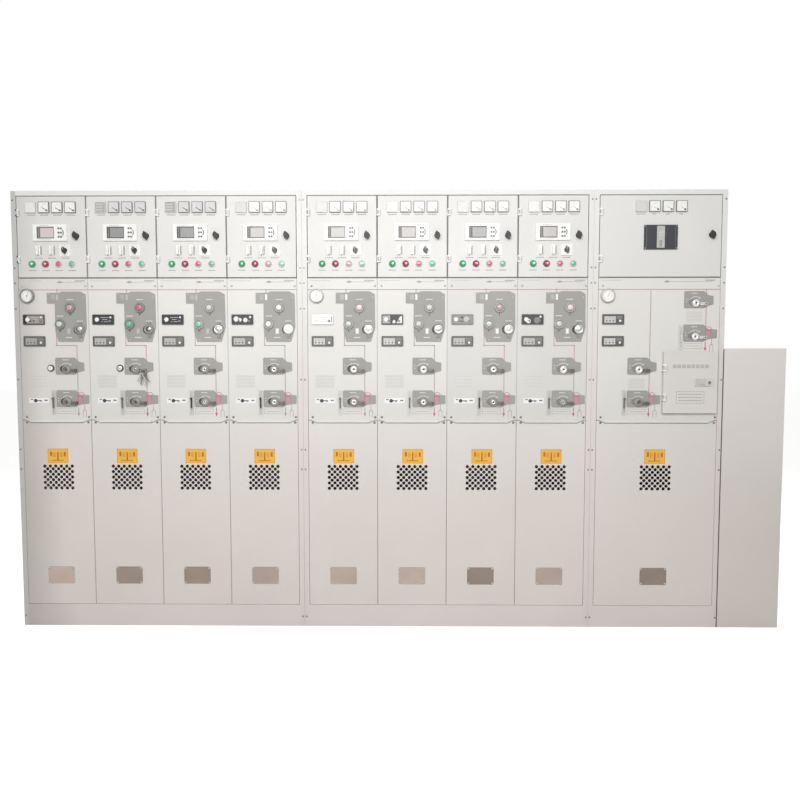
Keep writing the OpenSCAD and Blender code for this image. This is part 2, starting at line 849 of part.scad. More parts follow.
module lv_door(u) {
    leaf_w = unit_w(u) - door_gap_hinge - door_gap_lock;
    color(light_grey) at_door(u) hinged_leaf(leaf_w, door_h, door_return, hinge_heights) {
        for (place = meter_places) at_middle(u, place) square_cutout(meter_case_w, meter_case_w);
        translate([unit_w(u) - lock_in, 0, door_h - lock_drop]) round_cutout(barrel_r);
        if (u == access_unit)
            at_middle(u, [0, door_h - breaker_frame_drop])
                square_cutout(breaker_frame_w - 2 * breaker_frame_rim, breaker_frame_h - 2 * breaker_frame_rim);
        else {
            at_middle(u, relay_place) square_cutout(relay_case_w, relay_case_h);
            for (place = link_places) at_middle(u, place) square_cutout(link_case_w, link_case_h);
            at_middle(u, selector_place) round_cutout(selector_case_r);
            for (place = lamp_places) at_middle(u, place) round_cutout(barrel_r);
        }
    }
}

meter_bezel = 3;
meter_sunk = 1.5;

// Panel meter: bezel, sunk dial and a case behind the door
module panel_meter() {
    w = meter_w;
    dial_w = w - 2 * meter_bezel;
    difference() {
        translate([-w / 2, -meter_proud, -w / 2]) cube([w, meter_proud, w]);
        translate([-dial_w / 2, -meter_proud - 1, -dial_w / 2]) cube([dial_w, meter_sunk + 1, dial_w]);
    }
    translate([-meter_case_w / 2, 0, -meter_case_w / 2]) cube([meter_case_w, meter_body_d, meter_case_w]);
}

relay_proud = 10;
relay_screen = [93, 62];
relay_screen_in = 21;
relay_screen_sunk = 2;
relay_key_r = 4;
relay_key_x = [48, 61];
relay_key_step = 22;

// Protection relay: face with a sunk display, two columns of keys and a case behind the door
module protection_relay() {
    difference() {
        translate([-relay_w / 2, -relay_proud, -relay_h / 2]) round_plate([relay_w, relay_h], relay_proud, 4);
        translate([relay_screen_in - relay_w / 2, -relay_proud - 1, -relay_screen.y / 2])
            cube([relay_screen.x, relay_screen_sunk + 1, relay_screen.y]);
    }
    for (x = relay_key_x, row = [-1 : 1])
        translate([x, -relay_proud, row * relay_key_step]) boss(relay_key_r, relay_key_r / 2);
    translate([-relay_case_w / 2, 0, -relay_case_h / 2]) cube([relay_case_w, relay_body_d, relay_case_h]);
}

link_proud = 20;
link_base_t = 5;
link_tongue = [12, 46];
link_case_d = 30;

// Test link: an upright base with a rounded tongue
module test_link() {
    translate([-link_w / 2, -link_base_t, -link_h / 2]) round_plate([link_w, link_h], link_base_t, 3);
    translate([-link_tongue.x / 2, -link_proud, -link_tongue.y / 2])
        round_plate(link_tongue, link_proud - link_base_t, link_tongue.x / 3);
    translate([-link_case_w / 2, 0, -link_case_h / 2]) cube([link_case_w, link_case_d, link_case_h]);
}

knob_turn = -15;
knob_foot_t = 6;
selector_knob = [20, 42];
lock_knob = [26, 47];

// Wing knob: a long six-sided prism on a turned foot
module wing_knob(size, proud) {
    w = size.x;
    h = size.y;
    foot_r = h / 3;
    turned([[0, 0], [foot_r, 0], [foot_r - 2, knob_foot_t], [0, knob_foot_t]]);
    rotate([0, knob_turn, 0]) translate([0, -knob_foot_t, 0]) rotate([90, 0, 0])
        linear_extrude(proud - knob_foot_t)
            polygon([[0, h / 2], [w / 2, h / 6], [w / 2, -h / 6],
                     [0, -h / 2], [-w / 2, -h / 6], [-w / 2, h / 6]]);
}

selector_plate_t = 5;
selector_proud = 21;
selector_case_r = selector_w / 2 - 8;
selector_case_d = 50;

// Selector switch: a square plate, a wing knob and a round case
module selector_switch() {
    translate([-selector_w / 2, -selector_plate_t, -selector_w / 2])
        round_plate([selector_w, selector_w], selector_plate_t, 4);
    translate([0, -selector_plate_t, 0]) wing_knob(selector_knob, selector_proud - selector_plate_t);
    translate([0, selector_case_d, 0]) boss(selector_case_r, selector_case_d);
}

barrel_d = 45;
lamp_proud = 18;
lamp_dome = 10;

// Pilot lamp with a domed lens
module pilot_lamp() {
    r = button_d / 2;
    lens_r = r - 3;
    turned(concat([[0, 0], [r, 0], [r, 4], [lens_r, 6]],
                  [for (a = [0 : 15 : 90]) [lens_r * cos(a), lamp_proud - lamp_dome + lamp_dome * sin(a)]]));
    translate([0, barrel_d, 0]) boss(barrel_r, barrel_d);
}

collar_proud = 8;
collar_rim = 4;
push_cap_proud = 10;
cap_clear = 1;

// Flat push button in a collar
module push_button() {
    r = button_d / 2;
    well_r = r - collar_rim;
    foot = collar_proud / 2;
    turned([[0, 0], [r, 0], [r, foot], [r - collar_rim / 2, collar_proud], [well_r, collar_proud], [well_r, foot],
            [well_r - cap_clear, foot], [well_r - cap_clear, push_cap_proud], [0, push_cap_proud]]);
    translate([0, barrel_d, 0]) boss(barrel_r, barrel_d);
}

lock_barrel_d = 24;

// Door lock: a wing knob with its barrel behind the door
module door_lock() {
    wing_knob(lock_knob, lock_proud);
    translate([0, lock_barrel_d, 0]) boss(barrel_r, lock_barrel_d);
}

breaker_frame_t = 7;
breaker_frame_rim = 8;
breaker_strip_w = 44;
breaker_case_d = 60;

// Cover frame over one small breaker: two blank halves with the breaker's sunk strip between them
module breaker_frame() {
    w = breaker_frame_w;
    h = breaker_frame_h;
    rim = breaker_frame_rim;
    difference() {
        translate([-w / 2, -breaker_frame_t, -h / 2]) cube([w, breaker_frame_t, h]);
        translate([-breaker_strip_w / 2, -breaker_frame_t - 1, rim - h / 2])
            cube([breaker_strip_w, breaker_frame_t - 2, h - 1.5 * rim]);
    }
    translate([rim - w / 2, 0, rim - h / 2]) cube([w - 2 * rim, breaker_case_d, h - 2 * rim]);
}

module lv_fittings(u) {
    color(dark) at_door(u) {
        for (place = meter_places) at_middle(u, place) panel_meter();
        translate([unit_w(u) - lock_in, 0, door_h - lock_drop]) door_lock();
        if (u == access_unit)
            at_middle(u, [0, door_h - breaker_frame_drop]) breaker_frame();
        else {
            at_middle(u, relay_place) protection_relay();
            for (place = link_places) at_middle(u, place) test_link();
            at_middle(u, selector_place) selector_switch();
            for (i = [0 : 3]) at_middle(u, lamp_places[i]) {
                if (i < 2) pilot_lamp();
                else push_button();
            }
        }
    }
}

// Access door in the mechanism panel of the access unit

access_hinge_in = 86;
access_hinge_heights = [access_hinge_in, access_h - access_hinge_in];
access_lock_in = 72;
access_lock_w = 100;
access_lock_h = 40;
access_lock_z = access_h / 2;
access_lock_t = 4;
access_lock_rim = 5;
access_lock_case_in = 7;
access_lock_case_d = 12;
paddle_w = 44;
paddle_proud = 3;
cylinder_r = 12;
cylinder_in = 24;

// The seam at the access door's hinge edge, in the plane of its face
module at_access_door() {
    at_panel(access_unit) translate([access_x - door_gap_hinge, -access_proud, access_z]) children();
}

module at_access_lock() {
    at_access_door() translate([door_gap_hinge + access_w - access_lock_in, 0, access_lock_z]) children();
}

module access_door() {
    color(light_grey) difference() {
        at_access_door() hinged_leaf(access_w, access_h, access_return, access_hinge_heights);
        at_access_lock()
            square_cutout(access_lock_w - 2 * access_lock_case_in, access_lock_h - 2 * access_lock_case_in);
    }
}

// Flush plane lock: a dished face with a swing paddle, a round cylinder and a case behind the door
module access_door_lock() {
    w = access_lock_w;
    h = access_lock_h;
    rim = access_lock_rim;
    case_w = w - 2 * access_lock_case_in;
    case_h = h - 2 * access_lock_case_in;
    color(steel) at_access_lock() {
        difference() {
            translate([-w / 2, -access_lock_t, -h / 2]) round_plate([w, h], access_lock_t, rim);
            translate([rim - w / 2, -2 * access_lock_t, rim - h / 2])
                cube([paddle_w + 2 * rim, 2 * access_lock_t - sheet_t, h - 2 * rim]);
        }
        translate([2 * rim - w / 2, -access_lock_t - paddle_proud, 2 * rim - h / 2])
            cube([paddle_w, access_lock_t + paddle_proud, h - 4 * rim]);
        translate([w / 2 - cylinder_in, -access_lock_t, 0]) boss(cylinder_r, paddle_proud);
        translate([-case_w / 2, 0, -case_h / 2]) cube([case_w, access_lock_case_d, case_h]);
    }
}

// Fixed hinge half: pin, two lugs and the tab that goes back past the door to its seat
module hinge_half(tab_depth) {
    pin_h = knuckle_h + 2 * (hinge_play + lug_h);
    translate([hinge_axis_x, -hinge_proud, -pin_h / 2]) cylinder(r = hinge_pin_r, h = pin_h);
    for (low = [-pin_h / 2, pin_h / 2 - lug_h]) {
        translate([hinge_axis_x, -hinge_proud, low]) cylinder(r = lug_r, h = lug_h);
        translate([0, -hinge_proud - lug_arm_t / 2, low]) cube([hinge_axis_x, lug_arm_t, lug_h]);
        translate([0, -hinge_proud - lug_arm_t / 2, low])
            cube([hinge_tab_t, hinge_proud + lug_arm_t / 2 + tab_depth, lug_h]);
    }
}

module door_hinges() {
    color(light_grey) {
        for (u = [0 : access_unit], z = hinge_heights)
            at_door(u) translate([0, 0, z]) hinge_half(door_return + door_rear_gap);
        for (z = access_hinge_heights) at_access_door() translate([0, 0, z]) hinge_half(access_proud);
    }
}

// End box

module end_box_panels() {
    color(light_grey) for (y = [front_y, back_y - sheet_t])
        translate([end_box_x, y, 0]) cube([end_box_w, sheet_t, end_box_h - sheet_t]);
}

module end_box_side() {
    color(light_grey) translate([end_box_x + end_box_w - outer_step - sheet_t, front_y + sheet_t, 0])
        cube([sheet_t, row_depth - 2 * sheet_t, end_box_h - sheet_t]);
}

module end_box_top() {
    color(light_grey) translate([end_box_x, front_y, end_box_h - sheet_t])
        cube([end_box_w, row_depth, sheet_t]);
}

// Nodes

plinth_skirts();
frame_posts();
top_rails();
roof_panels();
side_panels();
rear_panels();
mullions();
lv_shelves();
lv_partitions();
lv_back_plates();
gas_tanks();
mechanism_panels();
access_panel();
cable_covers();
cover_windows();
breaker_plates();
disconnector_plates();
earthing_plates();
breaker_buttons();
charging_sockets();
operating_sockets();
interlock_levers();
panel_indicators();
pressure_gauges();
key_locks();
door_hinges();
end_box_panels();
end_box_side();
end_box_top();
access_door();
access_door_lock();
for (u = [0 : access_unit]) {
    lv_door(u);
    lv_fittings(u);
}
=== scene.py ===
"""Looks of a medium-voltage ring main unit row: finishes, printed marks, small hardware, stage and camera.

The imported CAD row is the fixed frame. Each sub-assembly below is a class that paints its CAD nodes and adds
the small pieces that ride on them. Sizes are millimetres, and points are metres.
"""

import logging
import math
from abc import ABC, abstractmethod
from dataclasses import dataclass
from enum import Enum
from typing import Sequence

import bmesh
import bpy
from mathutils import Matrix, Vector


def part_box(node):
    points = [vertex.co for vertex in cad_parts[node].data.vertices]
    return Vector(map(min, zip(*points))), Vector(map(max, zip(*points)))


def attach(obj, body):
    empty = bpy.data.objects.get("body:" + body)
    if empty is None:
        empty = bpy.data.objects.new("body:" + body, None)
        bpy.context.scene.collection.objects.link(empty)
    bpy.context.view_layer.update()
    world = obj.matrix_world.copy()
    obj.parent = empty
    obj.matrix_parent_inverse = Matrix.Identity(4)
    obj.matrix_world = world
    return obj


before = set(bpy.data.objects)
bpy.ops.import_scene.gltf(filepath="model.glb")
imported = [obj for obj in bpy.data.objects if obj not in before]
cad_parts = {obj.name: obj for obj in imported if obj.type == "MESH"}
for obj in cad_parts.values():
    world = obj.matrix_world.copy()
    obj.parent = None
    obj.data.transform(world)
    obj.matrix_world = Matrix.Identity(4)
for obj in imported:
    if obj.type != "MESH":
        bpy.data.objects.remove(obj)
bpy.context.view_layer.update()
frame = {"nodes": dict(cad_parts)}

LOG = logging.getLogger("ring_main_unit")
MM = 0.001
ACCESS = 9
GROUP_HEADS = (1, 5, 9)
DARK_UNITS = (1, 2, 3)
SHADOWED_SOCKETS = (1, 2, 3, 4, 5)
SHADED_SOCKETS = (1, 2)
DIM_DOORS = (2, 3)
PALE_CAPS = (4, 5)
PALE_GUIDES = (5, 6)
BLACK_LEVERS = (3, 4, 7)
PLAIN_ARROWS = (1, 4, 5)
Colour = tuple[float, float, float]
Point = tuple[float, float]
Socket = bpy.types.NodeSocket


def linear(colour: Colour, gain: float = 1.0) -> tuple[float, float, float, float]:
    """Turn a screen colour into linear light.

    Args:
        colour: red, green and blue from 0 to 255.
        gain: factor on the linear values.

    Returns:
        Linear red, green, blue and an alpha of 1.
    """
    shares = [value / 255 for value in colour]
    light = [s / 12.92 if s <= 0.04045 else ((s + 0.055) / 1.055) ** 2.4 for s in shares]
    return (light[0] * gain, light[1] * gain, light[2] * gain, 1.0)


def mm(x: float, y: float, z: float) -> Vector:
    """Make a vector in metres from millimetres."""
    return Vector((x * MM, y * MM, z * MM))


def heading(angle: float) -> Vector:
    """Step of one millimetre on the front, at an angle in degrees from +X towards +Z."""
    turn = math.radians(angle)
    return mm(math.cos(turn), 0.0, math.sin(turn))


class ShaderBoard:
    """Node tree of one material, with the few nodes that the finishes share."""

    def __init__(self, name: str) -> None:
        """Start a material with a principled shader on object coordinates.

        Args:
            name: name of the new material.
        """
        self.material = bpy.data.materials.new(name)
        self.material.use_nodes = True
        self.tree = self.material.node_tree
        self.tree.nodes.clear()
        self.output = self.tree.nodes.new("ShaderNodeOutputMaterial")
        self.shader = self.tree.nodes.new("ShaderNodeBsdfPrincipled")
        self.link(self.shader.outputs["BSDF"], self.output.inputs["Surface"])
        self.place = self.tree.nodes.new("ShaderNodeTexCoord").outputs["Object"]

    def link(self, source: Socket, target: Socket) -> None:
        """Join an output socket to an input socket."""
        self.tree.links.new(source, target)

    def stretched(self, scale: tuple[float, float, float]) -> Socket:
        """Object coordinates with a scale per axis.

        Args:
            scale: factor along X, Y and Z.

        Returns:
            The stretched coordinates.
        """
        mapping = self.tree.nodes.new("ShaderNodeMapping")
        mapping.inputs["Scale"].default_value = scale
        self.link(self.place, mapping.inputs["Vector"])
        return mapping.outputs["Vector"]

    def noise(self, scale: float, detail: float = 2.0, place: Socket | None = None) -> Socket:
        """Noise over the object.

        Args:
            scale: cells per metre.
            detail: octaves of finer noise.
            place: coordinates to use instead of the plain object ones.

        Returns:
            The noise value socket.
        """
        node = self.tree.nodes.new("ShaderNodeTexNoise")
        node.inputs["Scale"].default_value = scale
        node.inputs["Detail"].default_value = detail
        self.link(place or self.place, node.inputs["Vector"])
        return node.outputs["Fac"]

    def span(self, factor: Socket, low: float, high: float) -> Socket:
        """Spread the useful middle of a noise over a range.

        Args:
            factor: noise value.
            low: result at the dark end.
            high: result at the bright end.

        Returns:
            The spread value.
        """
        node = self.tree.nodes.new("ShaderNodeMapRange")
        node.inputs["From Min"].default_value = 0.3
        node.inputs["From Max"].default_value = 0.7
        node.inputs["To Min"].default_value = low
        node.inputs["To Max"].default_value = high
        self.link(factor, node.inputs["Value"])
        return node.outputs["Result"]

    def tint(self, factor: Socket, low: Sequence[float], high: Sequence[float]) -> Socket:
        """Blend two colours by a factor.

        Args:
            factor: share of the second colour.
            low: linear colour at 0.
            high: linear colour at 1.

        Returns:
            The blended colour.
        """
        node = self.tree.nodes.new("ShaderNodeMix")
        node.data_type = "RGBA"
        node.inputs[6].default_value = low
        node.inputs[7].default_value = high
        self.link(factor, node.inputs[0])
        return node.outputs[2]

    def rise(self, low: float, high: float, axis: str = "Z") -> Socket:
        """Share of the way between two places on an axis.

        Args:
            low: place of 0 in metres.
            high: place of 1 in metres.
            axis: X for across the row, Z for up.

        Returns:
            The share, from 0 to 1.
        """
        split = self.tree.nodes.new("ShaderNodeSeparateXYZ")
        self.link(self.place, split.inputs[0])
        node = self.tree.nodes.new("ShaderNodeMapRange")
        node.inputs["From Min"].default_value = low
        node.inputs["From Max"].default_value = high
        self.link(split.outputs[axis], node.inputs["Value"])
        return node.outputs["Result"]

    def blend(self, factor: Socket, low: Socket, high: Socket) -> Socket:
        """Blend two colour sockets by a factor.

        Args:
            factor: share of the second colour.
            low: colour at 0.
            high: colour at 1.

        Returns:
            The blended colour.
        """
        node = self.tree.nodes.new("ShaderNodeMix")
        node.data_type = "RGBA"
        self.link(factor, node.inputs[0])
        self.link(low, node.inputs[6])
        self.link(high, node.inputs[7])
        return node.outputs[2]

    def gloss(self, factor: Socket, low: float, high: float) -> None:
        """Let the roughness follow a noise between two values."""
        self.link(self.span(factor, low, high), self.shader.inputs["Roughness"])

    def bump(self, height: Socket, strength: float, distance: float) -> None:
        """Give the shader a bump.

        Args:
            height: height value.
            strength: share of the bump that shows.
            distance: depth of the bump in metres.
        """
        node = self.tree.nodes.new("ShaderNodeBump")
        node.inputs["Strength"].default_value = strength
        node.inputs["Distance"].default_value = distance
        self.link(height, node.inputs["Height"])
        self.link(node.outputs["Normal"], self.shader.inputs["Normal"])

    def set(self, **values: float | Sequence[float]) -> None:
        """Set plain shader values by socket name, with underscores for spaces."""
        for name, value in values.items():
            self.shader.inputs[name.replace("_", " ").title().replace("Ior", "IOR")].default_value = value


@dataclass(frozen=True)
class Finish(ABC):
    """A surface finish, made into one shared material.

    Attributes:
        name: name of the finish.
        colour: screen colour from 0 to 255.
    """

    name: str
    colour: Colour

    def material(self) -> bpy.types.Material:
        """Find or make the material.

        Returns:
            The material of this finish.
        """
        name = f"look_{self.name}"
        if name not in bpy.data.materials:
            self.mix(ShaderBoard(name))
        return bpy.data.materials[name]

    @abstractmethod
    def mix(self, board: ShaderBoard) -> None:
        """Build the node tree on a fresh board."""

    def drift(self, board: ShaderBoard, factor: Socket, share: float) -> None:
        """Let the base colour drift a little about its mean.

        Args:
            board: material board.
            factor: noise value that carries the drift.
            share: how far the colour goes down and up.
        """
        spread = board.span(factor, 0.0, 1.0)
        tone = board.tint(spread, linear(self.colour, 1 - share), linear(self.colour, 1 + share))
        board.link(tone, board.shader.inputs["Base Color"])


@dataclass(frozen=True)
class Paint(Finish):
    """Powder-coated sheet: an uneven tone over metres and a fine orange-peel skin.

    Attributes:
        roughness: middle of the gloss range.
        share: drift of the tone.
        peel: strength of the orange-peel bump.
    """

    roughness: float = 0.46
    share: float = 0.025
    peel: float = 0.12

    def mix(self, board: ShaderBoard) -> None:
        """Build the paint.

        Args:
            board: a fresh material board.
        """
        self.drift(board, board.noise(1.7, 3.0), self.share)
        board.gloss(board.noise(9.0, 4.0), self.roughness - 0.05, self.roughness + 0.05)
        board.bump(board.noise(620.0, 1.0), self.peel, 0.0004)
        board.set(specular_ior_level=0.4)


@dataclass(frozen=True)
class GradedPaint(Paint):
    """Powder coat whose tone changes along an axis; the change is painted light and shade, which fall
    unevenly on the row.

    Attributes:
        head: screen colour at the far end.
        span: places in metres between which the tone changes.
        axis: X for across the row, Z for up.
    """

    head: Colour = (226, 226, 223)
    span: Point = (1.1, 2.1)
    axis: str = "Z"

    def drift(self, board: ShaderBoard, factor: Socket, share: float) -> None:
        """Let both tones drift a little and change from one to the other, as painted light and shade.

        Args:
            board: material board.
            factor: noise value that carries the drift.
            share: how far the colours go down and up.
        """
        spread = board.span(factor, 0.0, 1.0)
        tones = [board.tint(spread, linear(tone, 1 - share), linear(tone, 1 + share))
                 for tone in (self.colour, self.head)]
        board.link(board.blend(board.rise(*self.span, self.axis), *tones), board.shader.inputs["Base Color"])


@dataclass(frozen=True)
class Plastic(Finish):
    """Moulded plastic with a fine grain.

    Attributes:
        roughness: gloss of the moulding.
        grain: strength of the grain.
    """

    roughness: float = 0.42
    grain: float = 0.15

    def mix(self, board: ShaderBoard) -> None:
        """Build the plastic.

        Args:
            board: a fresh material board.
        """
        self.drift(board, board.noise(60.0, 3.0), 0.06)
        board.gloss(board.noise(140.0, 2.0), self.roughness - 0.06, self.roughness + 0.06)
        board.bump(board.noise(1600.0, 1.0), self.grain, 0.0002)


@dataclass(frozen=True)
class Metal(Finish):
    """Plated or brushed metal.

    Attributes:
        roughness: middle of the gloss range.
        brush: stretch of the brush marks along X, Y and Z.
    """

    roughness: float = 0.28
    brush: tuple[float, float, float] = (1.0, 1.0, 14.0)

    def mix(self, board: ShaderBoard) -> None:
        """Build the metal.

        Args:
            board: a fresh material board.
        """
        marks = board.noise(90.0, 4.0, board.stretched(self.brush))
        self.drift(board, marks, 0.08)
        board.gloss(marks, self.roughness - 0.08, self.roughness + 0.08)
        board.bump(marks, 0.05, 0.0002)
        board.set(metallic=1.0)


@dataclass(frozen=True)
class Lens(Finish):
    """Coloured clear plastic with a prismatic back, lit a little from within.

    Attributes:
        glow: strength of the light from within.
    """

    glow: float = 0.15

    def mix(self, board: ShaderBoard) -> None:
        """Build the lens.

        Args:
            board: a fresh material board.
        """
        cells = board.tree.nodes.new("ShaderNodeTexVoronoi")
        cells.inputs["Scale"].default_value = 420.0
        board.link(board.place, cells.inputs["Vector"])
        self.drift(board, cells.outputs["Distance"], 0.25)
        board.bump(cells.outputs["Distance"], 0.1, 0.0004)
        board.set(roughness=0.22, coat_weight=0.8, coat_roughness=0.06,
                  emission_color=linear(self.colour), emission_strength=self.glow)


@dataclass(frozen=True)
class Screen(Finish):
    """Display glass over faint pixel rows.

    Attributes:
        glow: strength of the back light.
    """

    glow: float = 0.1

    def mix(self, board: ShaderBoard) -> None:
        """Build the screen.

        Args:
            board: a fresh material board.
        """
        rows = board.noise(110.0, 1.0, board.stretched((0.4, 1.0, 7.0)))
        self.drift(board, rows, 0.07)
        board.set(roughness=0.25, coat_weight=0.6, coat_roughness=0.08,
                  emission_color=linear(self.colour), emission_strength=self.glow)


@dataclass(frozen=True)
class WindowGlass(Finish):
    """Tinted inspection glass with faint cloudy reflections.

    Attributes:
        cloud: how far the tint goes down and up.
    """

    cloud: float = 0.09

    def mix(self, board: ShaderBoard) -> None:
        """Build the glass.

        Args:
            board: a fresh material board.
        """
        self.drift(board, board.noise(7.0, 2.0), self.cloud)
        board.bump(board.noise(14.0, 1.0), 0.05, 0.002)
        board.set(roughness=0.08, transmission_weight=0.12, ior=1.45, coat_weight=0.4, coat_roughness=0.03)


@dataclass(frozen=True)
class Ink(Finish):
    """Screen-printed ink, a little broken up."""

    def mix(self, board: ShaderBoard) -> None:
        """Build the ink."""
        self.drift(board, board.noise(240.0, 3.0), 0.1)
        board.gloss(board.noise(30.0, 2.0), 0.45, 0.6)


@dataclass(frozen=True)
class Palette:
    """All finishes of the row."""

    door: Finish = Paint("door_paint", (218, 217, 214))
    # Painted shade: the first door darkens towards the row's left end.
    door_left_shade: Finish = GradedPaint("door_left_shade", (204, 203, 200), head=(218, 216, 213),
                                     span=(-2.04, -1.92), axis="X")
    # Painted light: the mechanism panels grow lighter upwards between 1.15 m and 1.45 m.
    panel: Finish = GradedPaint("panel_lit_paint", (215, 213, 209), head=(221, 219, 215), span=(1.15, 1.45))
    # Painted shade: the first mechanism panel darkens towards the row's left end.
    panel_left_shade: Finish = GradedPaint("panel_left_shade", (192, 189, 186), head=(218, 215, 211),
                                      span=(-2.05, -1.93), axis="X")
    # Darker copy of the panel paint: painted shade on units 7 and 8, and the tone of the etched labels.
    panel_shade_and_label: Finish = GradedPaint("panel_shade_and_label", (210, 208, 204), head=(213, 211, 208), span=(1.15, 1.45))
    cover: Finish = GradedPaint("cover_paint", (218, 210, 205), head=(217, 213, 209), span=(0.4, 1.1))
    # Painted shade: the first cable cover darkens towards the row's left end.
    cover_left_shade: Finish = GradedPaint("cover_left_shade", (190, 184, 179), head=(219, 212, 207),
                                      span=(-2.04, -1.84), axis="X")
    # Painted shade: the plinth darkens towards the row's left end.
    plinth: Finish = GradedPaint("plinth_left_shade", (184, 178, 174), head=(218, 211, 207),
                                 span=(-2.06, -1.76), axis="X")
    # Painted light: the frame grows lighter upwards between 1.1 m and 2.1 m.
    frame: Finish = GradedPaint("frame_lit_paint", (216, 209, 205), head=(222, 222, 219))
    # Painted shade: the end box darkens downwards from 1.6 m to 0.5 m.
    end_box: Finish = GradedPaint("end_box_shaded_paint", (213, 206, 201), head=(226, 221, 218), span=(0.5, 1.6))
    leaf: Finish = Paint("leaf_paint", (217, 213, 209))
    inner: Finish = Paint("inner_sheet", (188, 188, 184), 0.5)
    hinge: Finish = Paint("hinge_white", (240, 240, 238), 0.4)
    plate: Finish = Paint("plate_grey", (156, 155, 151), 0.5, 0.05, 0.25)
    guide: Finish = Paint("guide_grey", (196, 195, 190), 0.45)
    tank: Finish = Metal("tank_steel", (190, 190, 188), 0.38, (1.0, 1.0, 9.0))
    steel: Finish = Metal("control_steel", (182, 182, 180), 0.24)
    zinc: Finish = Metal("screw_zinc", (176, 174, 170), 0.34)
    collar: Finish = Plastic("collar_grey", (142, 140, 137))
    hasp: Finish = Metal("hasp_dark", (112, 106, 103), 0.4)
    black: Finish = Plastic("lever_black", (24, 24, 26), 0.5)
    slate: Finish = Plastic("breaker_slate", (42, 44, 50), 0.55)
    case: Finish = Plastic("case_black", (52, 52, 54))
    dark: Finish = Plastic("recess_dark", (58, 58, 58), 0.6)
    bezel: Finish = Plastic("bezel_grey", (128, 127, 125))
    monitor: Finish = Plastic("monitor_grey", (108, 107, 105))
    monitor_dark: Finish = Plastic("monitor_dark", (122, 121, 119))
    guard: Finish = Plastic("guard_grey", (172, 169, 165))
    knob: Finish = Plastic("knob_grey", (66, 66, 65))
    rim_dark: Finish = Plastic("rim_dark", (84, 84, 83))
    rim_pale: Finish = Plastic("rim_pale", (108, 104, 102))
    # Strips in the seams: painted light in the panel seams, painted shade in the cover seams.
    seam: Finish = Plastic("seam_painted_light", (184, 181, 177), 0.6)
    seam_painted_shade: Finish = Plastic("seam_painted_shade", (150, 143, 139), 0.6)
    # Painted shadow beside the test links.
    clip: Finish = Plastic("link_shadow_grey", (168, 163, 156))
    bolt: Finish = Metal("bolt_dark", (136, 133, 129), 0.46)
    shade: Finish = Paint("post_shade", (190, 189, 187))
    # Painted shadow for the gap beside the end box.
    gap: Finish = Plastic("gap_shadow_strip", (82, 78, 75), 0.7)
    glare: Finish = Plastic("glare_white", (226, 223, 228), 0.3)
    display: Finish = Plastic("display_grey", (205, 205, 203), 0.35)
    white: Finish = Plastic("white_plastic", (238, 238, 235), 0.38)
    card: Finish = Ink("dial_card", (236, 236, 232))
    card_dim: Finish = Ink("dial_card_dim", (208, 207, 208))
    ink: Finish = Ink("dark_ink", (60, 60, 62))
    grey_ink: Finish = Ink("grey_ink", (158, 156, 153))
    faint_ink: Finish = Ink("faint_ink", (198, 195, 191))
    white_ink: Finish = Ink("white_ink", (226, 226, 222))
    line_pink: Finish = Ink("mimic_line_pink", (190, 144, 150))
    line_grey: Finish = Ink("mimic_line_grey", (164, 152, 152))
    pink: Finish = Ink("mimic_pink", (190, 98, 118))
    blush: Finish = Ink("mimic_blush", (178, 146, 150))
    label: Finish = Ink("label_white", (236, 236, 234))
    brown_face: Finish = Plastic("brown_face", (152, 142, 139), 0.35)
    panel_face: Finish = Plastic("panel_face", (166, 164, 161), 0.35)
    panel_mid: Finish = Plastic("panel_mid", (186, 185, 182), 0.35)
    panel_pale: Finish = Plastic("panel_pale", (204, 203, 200), 0.35)
    silver: Finish = Metal("cap_silver", (206, 205, 203), 0.2)
    chrome: Finish = Metal("socket_chrome", (212, 211, 209), 0.16)
    seal: Finish = Plastic("door_seal", (142, 140, 137), 0.6)
    sign: Finish = Paint("sign_yellow", (232, 181, 74), 0.35, 0.04)
    sign_mark: Finish = Ink("sign_orange", (184, 100, 22))
    sign_pale: Finish = Ink("sign_pale", (216, 152, 58))
    lamp_green: Finish = Lens("lamp_green", (28, 138, 88))
    lamp_red: Finish = Lens("lamp_red", (130, 22, 56))
    # Painted highlights on the lamps.
    glint_green: Finish = Lens("glint_green", (140, 220, 188), 0.25)
    glint_red: Finish = Lens("glint_red", (222, 134, 156), 0.25)
    cap_green: Finish = Lens("cap_green", (90, 172, 138), 0.1)
    cap_ice: Finish = Lens("cap_ice", (140, 192, 174), 0.1)
    mint: Finish = Lens("cap_mint", (122, 192, 164), 0.1)
    cap_red: Finish = Lens("cap_red", (194, 84, 112), 0.1)
    cap_rose: Finish = Lens("cap_rose", (192, 146, 152), 0.1)
    pale_green: Finish = Lens("pale_green", (184, 196, 188), 0.1)
    pale_red: Finish = Lens("pale_red", (224, 196, 196), 0.1)
    gasket: Finish = Plastic("window_gasket", (150, 144, 138), 0.6)
    terminal: Finish = Plastic("terminal_grey", (186, 184, 176))
    earth: Finish = Plastic("terminal_earth", (146, 170, 62))


PALETTE = Palette()


class Facing(Enum):
    """Side of the row that a piece looks out of, as a turn about Z in degrees."""

    FRONT = 0
    REAR = 180
    LEFT = -90
    RIGHT = 90

    def matrix(self) -> Matrix:
        """Turn from a front-facing piece to this side."""
        return Matrix.Rotation(math.radians(self.value), 4, "Z")


